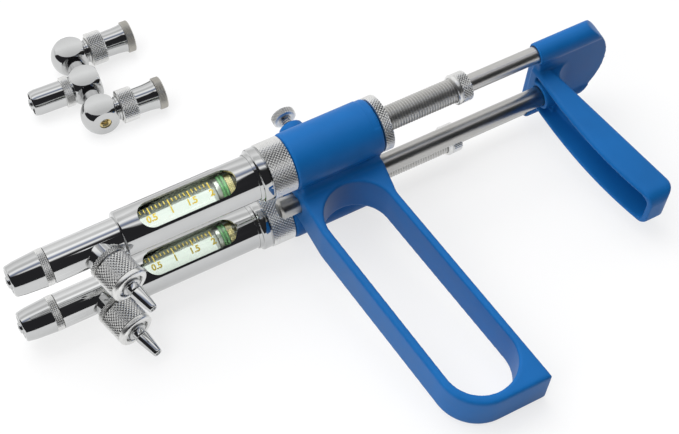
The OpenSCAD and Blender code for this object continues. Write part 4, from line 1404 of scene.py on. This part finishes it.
@dataclass
class Handle:
    """The blue housing with its finger loop, the guide rod and the lock screw."""

    bench: Bench
    housing_r: float = 9.8
    housing_len: float = 31.8
    handle_t: float = 16.4
    wall: float = 2.7
    loop_top: Vector = field(default_factory=lambda: Vector((15.3, -23.8)))
    loop_top_r: float = 12.1
    loop_end_r: float = 12.5
    loop_len: float = 62.3
    end_wall: float = 0.7
    lean: float = 7.2
    screw_set: float = 12.4
    boss_h: float = 20.5
    boss_r: float = 4.5
    collar_bore: tuple[float, float] = (12.1, 7.56)
    spring_bore: tuple[float, float] = (29.5, 5.9)
    dose_bore_r: float = 4.36
    guide_bore_r: float = 3.56
    screw_bore_r: float = 2.06
    stud_front: float = -2.35
    stud_rear: float = 25.05
    stud_r: float = 1.98
    stud_pitch: float = 0.7
    head_front: float = 23.6
    voxel: float = 0.46
    rim_drop: float = 0.2

    def build(self) -> None:
        """Makes the housing, the guide rod and the lock screw."""
        self.housing()
        self.guide_rod()
        self.lock_screw()

    def housing(self) -> None:
        """Moulds the housing and its handle in one."""
        half, r, length = REST.barrel_gap / 2, self.housing_r, self.housing_len
        body = [
            moved(
                Turning(sides=96, soft=0.0).make(
                    Profile(0, 0)
                    .to((0, r - 0.5), (0.5, r), (length - 0.4, r), (length, r - 0.4), (length, 0))
                ),
                line,
            )
            for line in REST.lines()
        ]
        body.append(box((0.05, -6.85, -half), (length - 0.05, 6.0, half)))
        body.append(prism(self._outline(), self.handle_t, 1.1))
        top, boss_r = self.boss_h, self.boss_r
        boss = Turning(sides=48, soft=0.0).make(
            Profile(0, 0).to((0, boss_r + 0.9), (6.0, boss_r + 0.9), (7.4, boss_r), (top - 0.7, boss_r))
            .to((top - 0.2, boss_r - 0.3), (top, boss_r - 0.8), (top, 0))
        )
        body.append(moved(boss, self._screw(0)))
        body += [self._fillet(side) for side in Side]
        holes = []
        for line in REST.lines():
            for end, bore_r, sides in (
                (*self.collar_bore, 64), (*self.spring_bore, 64), (length + 1, self.dose_bore_r, 48),
            ):
                holes.append(moved(rod(-1, end, bore_r, sides), line))
        holes.append(moved(rod(-1, length + 1, self.guide_bore_r, 48), REST.guide_line()))
        holes.append(moved(rod(0, 30, self.screw_bore_r, 32), self._screw(REST.guide_drop)))
        holes.append(prism(self._opening(), 2 * self.handle_t))
        solid = combined(joined(*body), joined(*holes), Operation.DIFFERENCE)
        skin = moulded(solid, self.voxel, 4)
        self._step_rims(skin)
        self.bench.piece("handle_housing", skin, REST.syringe(), "syringe", BLUE, ("housing_handle",), 70)

    def _step_rims(self, skin: bmesh.types.BMesh) -> None:
        """Sets the rear rims of the two housings a little below the rest.

        Args:
            skin: The moulded skin.
        """
        half = REST.barrel_gap / 2
        for vert in skin.verts:
            if vert.co.x > self.housing_len - 2.9:
                centre = Vector((vert.co.x, 0, math.copysign(half, vert.co.z)))
                out = vert.co - centre
                if abs(out.length - self.housing_r) < 0.5 and vert.co.y > -6:
                    vert.co = centre + out * (1 - self.rim_drop / self.housing_r)

    def _screw(self, drop: float) -> Matrix:
        """The matrix from the lock screw's upright axis, which starts a drop below the barrels."""
        return Matrix.Translation((self.screw_set, -drop, 0)) @ Matrix.Rotation(TAU / 4, 4, "Z")

    def _turns(self) -> tuple[Vector, float, float]:
        """Works out the opening's lower centre and where its straight sides leave the rounds.

        Returns:
            The lower centre, and the angles of the rear and of the front side, in degrees.
        """
        end = self.loop_top + self.loop_len * self._slope()
        fan = math.degrees(math.acos((self.loop_top_r - self.loop_end_r) / (end - self.loop_top).length))
        turn = self.lean - 90
        return end, turn + fan, turn - fan + 360

    def _slope(self) -> Vector:
        """The way down the handle, a millimetre deep."""
        return Vector((math.tan(math.radians(self.lean)), -1))

    def _fillet(self, side: Side) -> bmesh.types.BMesh:
        """Makes the fillet between a housing's underside and the handle's flank.

        Args:
            side: The housing that it is on.

        Returns:
            The closed shape.
        """
        flank = self.handle_t / 2 - 0.3
        corners = ((-3.5, flank), (-11.4, flank), (-9.6, flank + 0.8), (-8.6, flank + 3.2))
        outline = [(y, side.value * z) for y, z in corners]
        length = self.housing_len - 2.4
        return along_x(prism(outline, length), 1.4 + length / 2)

    def _outline(self) -> list[tuple[float, float]]:
        """Draws the handle's outer outline.

        Returns:
            Its points in x and y.
        """
        end, _, front_turn = self._turns()
        end = end + self.end_wall * self._slope()
        top_r, end_r = self.loop_top_r + self.wall, self.loop_end_r + self.wall
        fan = math.degrees(math.acos((top_r - end_r) / (end - self.loop_top).length))
        rear = math.radians(self.lean - 90 + fan)
        high = self.loop_top + top_r * Vector((math.cos(rear), math.sin(rear)))
        low = end + end_r * Vector((math.cos(rear), math.sin(rear)))
        floor = end.y - end_r
        corner = low + (low - high) * (floor - low.y) / (low.y - high.y)
        front_x = self.loop_top.x - top_r
        return (
            [(self.housing_len - 0.1, 0), (front_x, 0)]
            + arc(self.loop_top, top_r, 180, front_turn, 3)
            + arc(end, end_r, front_turn, 270, 24)
            + [tuple(corner), tuple(high), (self.housing_len - 0.1, -self.housing_r)]
        )

    def _opening(self) -> list[tuple[float, float]]:
        """Draws the outline of the finger opening.

        Returns:
            Its points in x and y.
        """
        end, rear_turn, front_turn = self._turns()
        return arc(self.loop_top, self.loop_top_r, rear_turn, front_turn, 40) + arc(
            end, self.loop_end_r, front_turn, rear_turn + 360, 40
        )

    def guide_rod(self) -> None:
        """Makes the guide rod."""
        bar = Turning(sides=72, soft=0.1).make(
            Profile(-6, 0).to((-6, 2.7), (-5.2, 3.5), (100.6, 3.5), (100.6, 0))
        )
        self.bench.piece("guide_bar", bar, REST.guide(), "plunger", STEEL, ("guide_rod",))

    def lock_screw(self) -> None:
        """Makes the lock screw's stud and knurled head."""
        place = REST.syringe() @ self._screw(0)
        stud = thread(self.stud_front, self.stud_rear, self.stud_r, self.stud_pitch, 0.3, 32)
        self.bench.piece("lock_stud_thread", stud, place, "lock_stud", CHROME, ("lock_screw_stud",), 25)
        x = self.head_front
        head = Turning(sides=72, depth=0.22).make(
            Profile(x, self.screw_bore_r).to((x, 3.7), (x + 0.35, 4.08)).knurl(x + 2.55, 0.75)
            .to((x + 2.9, 3.7), (x + 2.9, 0), (x + 1.5, 0), (x + 1.5, self.screw_bore_r)).loop()
        )
        self.bench.piece("lock_screw_knob", head, place, "lock_head", KNURLED_LIGHTENED, ("lock_screw_head",))


@dataclass
class Grip:
    """The blue palm grip."""

    bench: Bench
    front: float = 95.6
    palm_len: float = 30.0
    palm_r: float = 26.5
    boss_r: float = 4.0
    web_t: float = 6.4
    arm_w: float = 17.2
    arm_len: float = 64.0
    arm_top_d: float = 6.0
    arm_end_d: float = 9.6
    arm_sweep: float = 8.0
    arm_power: float = 2.4
    arm_wall: float = 2.0
    arm_round_r: float = 5.0
    arm_corner_r: float = 4.5
    fillet_r: float = 8.0
    rod_bore: tuple[float, float] = (20.1, 3.05)
    guide_bore: tuple[float, float] = (5.05, 3.55)
    voxel: float = 0.4

    def build(self) -> None:
        """Moulds the grip in one."""
        half = REST.barrel_gap / 2
        reach = half + self.boss_r
        swing = math.degrees(math.asin(reach / self.palm_r))
        palm_x = self.front + self.palm_len - self.palm_r
        round_end = arc(Vector((palm_x, 0)), self.palm_r, -swing, swing, 32)
        plan = [(self.front, reach), (self.front, -reach)] + round_end
        upright = Matrix.Rotation(TAU / 4, 4, "X")
        plan_cut = moved(prism(plan, 6 * self.boss_r, 0), upright)
        rear, web = self.front + self.palm_len, self.web_t / 2
        palm = [moved(rod(self.front, rear, self.boss_r, 64), line) for line in REST.lines()]
        palm.append(box((self.front + 1, -web, -half), (rear, web, half)))
        palm_shape = combined(joined(*palm), plan_cut, Operation.INTERSECT)
        profile = prism(self._side(0, 0), self.arm_w, 1.4)
        arm = combined(profile, self._plan(0, self.arm_corner_r, 1), Operation.INTERSECT)
        hollow = self._plan(self.arm_wall, self.arm_corner_r - self.arm_wall / 2, -web)
        trough = combined(prism(self._side(-1, self.arm_wall), self.arm_w), hollow, Operation.INTERSECT)
        arm = combined(arm, trough, Operation.DIFFERENCE)
        ring = moved(rod(self.front, self.front + self.arm_top_d, 5.0, 48), REST.guide_line())
        corner = Vector((self.front + self.arm_top_d + self.fillet_r, -web - self.fillet_r))
        fillet = prism(
            [(corner.x - self.fillet_r - 2, corner.y), (corner.x - self.fillet_r - 2, 0), (corner.x, 0)]
            + arc(corner, self.fillet_r, 90, 180, 12),
            self.arm_w - 1.6,
        )
        body = joined(palm_shape, arm, ring, fillet)
        depth, bore_r = self.rod_bore
        holes = [moved(rod(self.front - 1, self.front + depth, bore_r, 48), line) for line in REST.lines()]
        depth, bore_r = self.guide_bore
        holes.append(moved(rod(self.front - 1, self.front + depth, bore_r, 48), REST.guide_line()))
        solid = combined(body, joined(*holes), Operation.DIFFERENCE)
        skin = moulded(solid, self.voxel, 5)
        self.bench.piece("palm_handle", skin, REST.syringe(), "plunger", BLUE, ("palm_grip",), 70)

    def _side(self, front_in: float, rear_in: float) -> list[tuple[float, float]]:
        """The arm's side outline.

        Args:
            front_in: How far its front face is set in.
            rear_in: How far its rear face is set in.

        Returns:
            The outline.
        """
        y0 = -self.web_t / 2
        rise = self.arm_len + y0
        rear_top = self.front + self.arm_top_d - rear_in
        end_x = self.front + self.arm_sweep + self.arm_end_d - rear_in
        centre = Vector((end_x - self.arm_round_r, self.arm_round_r - self.arm_len))
        front = self.front + front_in
        shares = [i / 16 for i in range(17)]
        face = [(front + self.arm_sweep * s ** self.arm_power, y0 - rise * s) for s in shares]
        foot = arc(centre, self.arm_round_r, -90, 0, 8)
        return [(front, 0)] + face + foot + [(rear_top, y0), (rear_top, 0)]

    def _plan(self, inset: float, round_r: float, top: float) -> bmesh.types.BMesh:
        """The arm's outline seen along x, as a bar that runs through the arm.

        Args:
            inset: How far it is set in from the arm's sides.
            round_r: Radius of its lower corners.
            top: Where it ends at the top.

        Returns:
            The closed bar.
        """
        half = self.arm_w / 2 - inset
        low = inset - self.arm_len
        outline = (
            arc(Vector((low + round_r, round_r - half)), round_r, 270, 180, 8)
            + arc(Vector((low + round_r, half - round_r)), round_r, 180, 90, 8)
            + [(top, half), (top, -half)]
        )
        return along_x(prism(outline, 2 * self.palm_len), self.front + self.palm_len - 1)


@dataclass
class Manifold:
    """The loose manifold with its three ball blocks."""

    bench: Bench
    ball_r: float = 7.4
    flat_d: float = 5.2
    neck_r: float = 3.6
    tube_r: float = 4.9
    rim_len: float = 3.0
    outlet_reach: float = 21.0
    socket_reach: float = 24.2
    gland_front: float = 6.9

    def build(self) -> None:
        """Makes the body, the nuts, the sockets, the ring and the plug."""
        self.body()
        for row, letter in ((1, "a"), (-1, "c")):
            self.gland(row, letter)
            self.socket(row, letter)
        self.outlet()

    def _ball(self, row: int) -> bmesh.types.BMesh:
        """Makes one ball block with its flats. The end blocks stay round at the back.

        Args:
            row: The block's place.

        Returns:
            The closed shape.
        """
        bm = bmesh.new()
        bmesh.ops.create_uvsphere(bm, u_segments=64, v_segments=32, radius=self.ball_r)
        for axis in (Vector((1, 0, 0)), Vector((0, 1, 0)), Vector((0, 0, 1))):
            for sign in (1, -1):
                if row and axis.x * sign < 0:
                    continue
                cut = bmesh.ops.bisect_plane(
                    bm, geom=bm.verts[:] + bm.edges[:] + bm.faces[:], dist=1e-4,
                    plane_co=axis * sign * self.flat_d, plane_no=axis * sign, clear_outer=True,
                )["geom_cut"]
                edges = [g for g in cut if isinstance(g, bmesh.types.BMEdge)]
                bmesh.ops.contextual_create(bm, geom=edges)
        bmesh.ops.recalc_face_normals(bm, faces=bm.faces)
        rims = [e for e in bm.edges if any(len(f.verts) > 8 for f in e.link_faces)]
        softened(bm, rims, 0.12, 2)
        return bm

    def body(self) -> None:
        """Makes the three blocks with their necks, stems and outlet tube."""
        home = REST.table(0)
        back = home.inverted()
        shapes = [moved(self._ball(row), back @ REST.table(row)) for row in (1, 0, -1)]
        necks = moved(rod(-17, 17, self.neck_r, 48), Matrix.Rotation(TAU / 4, 4, "Z"))
        stems = [
            moved(
                Turning(sides=64).make(
                    Profile(3, 0).to((3, 4.2), (5.9, 4.2), (6.1, 4.45), (7.0, 4.45), (7.0, 3.9))
                    .to((15.4, 3.9), (15.4, 0))
                ),
                back @ REST.table(row),
            )
            for row in (1, -1)
        ]
        out, tube_r = self.outlet_reach, self.tube_r
        outlet = Turning(sides=80).make(
            Profile(3, 0).to((3, tube_r), (out - 2.2, tube_r), (out - 0.5, 4.6), (out, 4.3), (out, 4.0))
            .to((out - 5.8, 4.0), (out - 5.8, 0))
        )
        turned = joined(outlet, *luer(out - 6, out, out + 0.8))
        moved(turned, Matrix.Rotation(math.pi, 4, "Z"))
        plug_hole = moved(rod(3.4, 7, 2.26, 32), back @ REST.table(-1, -90))
        blocks = joined(*shapes, necks, *stems)
        fused = combined(blocks, plug_hole, Operation.DIFFERENCE)
        whole = joined(fused, turned)
        self.bench.piece("manifold_blocks", whole, home, "manifold", CHROME, ("manifold_body",), 22)

    def gland(self, row: int, letter: str) -> None:
        """Makes a gland nut.

        Args:
            row: The block that it is on.
            letter: Its letter.
        """
        x = self.gland_front
        nut = KnurledRing(
            front=x, rear=x + 6.2, bore_r=4.96, rim_r=5.6, band_r=5.98, lead=0.4, run_out=0.5, pitch=1.1
        )
        shape = Turning(sides=72, depth=0.3).make(nut.profile())
        self.bench.piece(
            f"gland_ring_{letter}", shape, REST.table(row), f"gland_{letter}", KNURLED_LIGHTENED,
            (f"gland_nut_{letter}",),
        )

    def socket(self, row: int, letter: str) -> None:
        """Makes a socket tube with its matte rim.

        Args:
            row: The block that it is on.
            letter: Its letter.
        """
        reach, place, body = self.socket_reach, REST.table(row), f"socket_tube_{letter}"
        end = reach - self.rim_len
        tube = Turning(sides=80).make(
            Profile(7.4, 4.44).to((7.4, 4.88), (13.6, 4.88), (reach - 6.5, 4.98), (reach - 4.2, 5.2))
            .to((end, 5.5), (end, 4.0), (reach - 6, 4.0), (reach - 6, 1.1), (15.6, 1.1), (15.6, 4.44)).loop()
        )
        self.bench.piece(f"{body}_shell", tube, place, body, CHROME, (f"socket_{letter}",))
        rim = KnurledRing(
            front=end + 0.02, rear=reach, bore_r=4.02, rim_r=5.65, band_r=5.9,
            lead=0.23, run_out=0.4, pitch=0.7,
        )
        shape = Turning(sides=88, depth=0.12).make(rim.profile())
        self.bench.piece(f"socket_rim_{letter}", shape, place, body, MATTE)

    def outlet(self) -> None:
        """Makes the outlet's knurled ring and the brass plug."""
        x = self.flat_d + 0.4
        ring = KnurledRing(
            front=x, rear=x + 3.4, bore_r=4.96, rim_r=5.2, band_r=5.55, lead=0.35, run_out=0.35, pitch=0.85
        )
        shape = Turning(sides=88, depth=0.2).make(ring.profile())
        self.bench.piece("outlet_knurl", shape, REST.table(0, 180), "manifold", KNURLED_LIGHTENED, ("outlet_ring",))
        plug = Turning(sides=40).make(
            Profile(2.9, 0).to((2.9, 2.2), (4.75, 2.2), (4.75, 1.9), (4.1, 1.2), (3.4, 1.1), (3.4, 0))
        )
        self.bench.piece("brass_plug", plug, REST.table(-1, -90), "manifold", BRASS, ("manifold_plug",))


def dress_hidden(nodes: dict[str, bpy.types.Object]) -> None:
    """Gives the CAD nodes that stay their finishes.

    Args:
        nodes: The CAD nodes by name.
    """
    rubber = ("glass_gaskets", "outlet_valve", "inlet_valve")
    for name, node in nodes.items():
        if node.hide_render:
            continue
        finish = BLACK if name.startswith(rubber) else STEEL
        node.data.materials.clear()
        node.data.materials.append(finish.material())
        log.info("%s stays from the frame", name)


@dataclass(frozen=True)
class Lamp:
    """A square soft lamp that hangs towards the table's middle."""

    name: str
    spot: tuple[float, float, float]
    size: float
    power: float
    colour: Colour

    def hang(self) -> None:
        """Makes the lamp. It lights the colours and stays out of the metal's reflections."""
        data = bpy.data.lights.new(self.name, "AREA")
        data.shape, data.size, data.energy, data.color = "SQUARE", self.size, self.power, self.colour
        lamp = bpy.data.objects.new(self.name, data)
        lamp.location = self.spot
        lamp.rotation_mode = "QUATERNION"
        lamp.rotation_quaternion = (-Vector(self.spot)).to_track_quat("-Z", "Y")
        lamp.visible_glossy = False
        bpy.context.scene.collection.objects.link(lamp)


@dataclass(frozen=True)
class Studio:
    """The table, the lamps, the surroundings and the camera."""

    lens: float = 89.0129
    place: tuple[float, float, float] = (-0.154427, -0.335957, 0.457238)
    right: tuple[float, float, float] = (0.878475, -0.476565, -0.034157)
    up: tuple[float, float, float] = (0.392529, 0.679111, 0.620266)
    back: tuple[float, float, float] = (-0.272401, -0.558296, 0.783648)
    table_half: float = 3.0
    table_grey: float = 0.90
    table_glow: float = 0.72
    room_strength: float = 1.4
    dark_way: tuple[float, float, float] = (-0.5, -0.8, -0.33)
    dark_room: Colour = (0.02, 0.02, 0.022)
    lamps: tuple[Lamp, ...] = (
        Lamp("soft_lamp_over", (-0.15, 0.25, 0.9), size=0.9, power=6.0, colour=(1.0, 0.99, 0.97)),
        Lamp("soft_lamp_left", (-0.8, -0.3, 0.7), size=0.7, power=5.0, colour=(0.97, 0.98, 1.0)),
    )

    def build(self) -> None:
        """Makes the whole studio."""
        self.camera()
        self.table()
        for lamp in self.lamps:
            lamp.hang()
        self.surroundings()
        bpy.context.scene.view_settings.view_transform = "Standard"

    def camera(self) -> None:
        """Makes the camera at the photograph's viewing angle."""
        data = bpy.data.cameras.new("camera")
        data.lens, data.sensor_width, data.sensor_fit = self.lens, 36.0, "HORIZONTAL"
        data.clip_start, data.clip_end = 0.01, 20.0
        camera = bpy.data.objects.new("camera", data)
        axes = Matrix((self.right, self.up, self.back)).transposed().to_4x4()
        camera.matrix_world = Matrix.Translation(self.place) @ axes
        bpy.context.scene.collection.objects.link(camera)
        bpy.context.scene.camera = camera

    def table(self) -> None:
        """Makes the white table top."""
        bm = bmesh.new()
        bmesh.ops.create_grid(bm, x_segments=1, y_segments=1, size=self.table_half)
        mesh = bpy.data.meshes.new("table_top")
        bm.to_mesh(mesh)
        bm.free()
        top = bpy.data.objects.new("table_top", mesh)
        bpy.context.scene.collection.objects.link(top)
        material, _ = named_material("white_table")
        nodes = Nodes(material.node_tree)
        shader = material.node_tree.nodes["Principled BSDF"]
        shader.inputs["Base Color"].default_value = (*[self.table_grey] * 3, 1)
        shader.inputs["Roughness"].default_value = 0.7
        shader.inputs["Specular IOR Level"].default_value = 0.1
        glow = nodes.add("ShaderNodeEmission", {"Strength": 1.0})
        path, straight = nodes.seen()
        share = nodes.add("ShaderNodeMath", {1: self.table_glow}, operation="MULTIPLY")
        mirrored = nodes.add("ShaderNodeMath", operation="MAXIMUM")
        mix = nodes.add("ShaderNodeMixShader")
        nodes.link(
            (straight, mirrored.inputs[0]), (path.outputs["Is Glossy Ray"], mirrored.inputs[1]),
            (mirrored.outputs[0], share.inputs[0]), (share.outputs[0], mix.inputs[0]),
            (shader.outputs[0], mix.inputs[1]), (glow.outputs[0], mix.inputs[2]),
            (mix.outputs[0], material.node_tree.nodes["Material Output"].inputs["Surface"]),
        )
        mesh.materials.append(material)
        top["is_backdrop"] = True

    def surroundings(self) -> None:
        """Makes the room: a bright ceiling with dark bars, and the dark room behind the camera."""
        world = bpy.data.worlds.new("studio")
        world.use_nodes = True
        bpy.context.scene.world = world
        nodes = Nodes(world.node_tree)
        ground = world.node_tree.nodes["Background"]
        ground.inputs["Strength"].default_value = self.room_strength
        place = nodes.add("ShaderNodeTexCoord")
        split = nodes.add("ShaderNodeSeparateXYZ")
        forward = nodes.add("ShaderNodeMath", {1: -1.0}, operation="MULTIPLY")
        angle = nodes.add("ShaderNodeMath", operation="ARCTAN2")
        share = nodes.add("ShaderNodeMath", {1: 1 / TAU, 2: 0.5}, operation="MULTIPLY_ADD")
        nodes.link(
            (place.outputs["Generated"], split.inputs[0]), (split.outputs["Y"], forward.inputs[0]),
            (forward.outputs[0], angle.inputs[0]), (split.outputs["Z"], angle.inputs[1]),
            (angle.outputs[0], share.inputs[0]),
        )
        stops = [
            (turn / 360 + 0.5, tuple(c / self.room_strength for c in colour))
            for turn, colour in self._ceiling()
        ]
        room = nodes.ramp(share.outputs[0], stops)
        facing = nodes.add("ShaderNodeVectorMath", {1: self.dark_way}, operation="DOT_PRODUCT")
        shade = nodes.add("ShaderNodeMapRange", {"From Min": -0.07, "From Max": 0.03})
        white = nodes.add("ShaderNodeBackground", {"Color": (1, 1, 1, 1), "Strength": 1.0})
        mix = nodes.add("ShaderNodeMixShader")
        nodes.link(
            (place.outputs["Generated"], facing.inputs[0]), (facing.outputs["Value"], shade.inputs["Value"]),
            (nodes.blend(shade.outputs["Result"], room, self.dark_room), ground.inputs["Color"]),
            (nodes.seen()[1], mix.inputs[0]), (ground.outputs[0], mix.inputs[1]),
            (white.outputs[0], mix.inputs[2]),
            (mix.outputs[0], world.node_tree.nodes["World Output"].inputs["Surface"]),
        )

    def _ceiling(self) -> list[tuple[float, Colour]]:
        """The room's brightness by the angle from overhead towards the front, in degrees.

        Returns:
            Angles and colours.
        """
        grey = (
            (-110, 0.90), (-80, 0.86), (-62, 1.0), (-46, 1.2),
            (-32, 0.77), (-23, 0.8), (-14, 1.4), (-8, 1.3),
        )
        blue_bar = [(0, (0.40, 0.45, 0.58)), (6, (0.23, 0.27, 0.40))]
        front = (
            (11, 0.65), (16, 1.38), (20, 0.95), (26, 0.2), (33, 0.03), (84, 0.015), (92, 0.1), (102, 0.8),
        )
        return (
            [(turn, (level,) * 3) for turn, level in grey]
            + blue_bar
            + [(turn, (level,) * 3) for turn, level in front]
        )


def corners() -> list[list[float]]:
    """The shown object's lowest and highest corner as plain lists."""
    return [list(corner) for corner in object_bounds()]


def main() -> None:
    """Builds the syringe round its frame, then the studio."""
    logging.basicConfig(level=logging.INFO, format="%(name)s: %(message)s", stream=sys.stdout)
    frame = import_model()
    grain_group()
    edge_wear_and_shade_group()
    bench = Bench()
    for side in Side:
        Barrel(bench, side).build()
        Plunger(bench, side).build()
    Handle(bench).build()
    Grip(bench).build()
    Manifold(bench).build()
    dress_hidden(frame["nodes"])
    Studio().build()
    log.info("%d pieces with %d faces", bench.count, bench.faces)


if __name__ == "__main__":
    main()
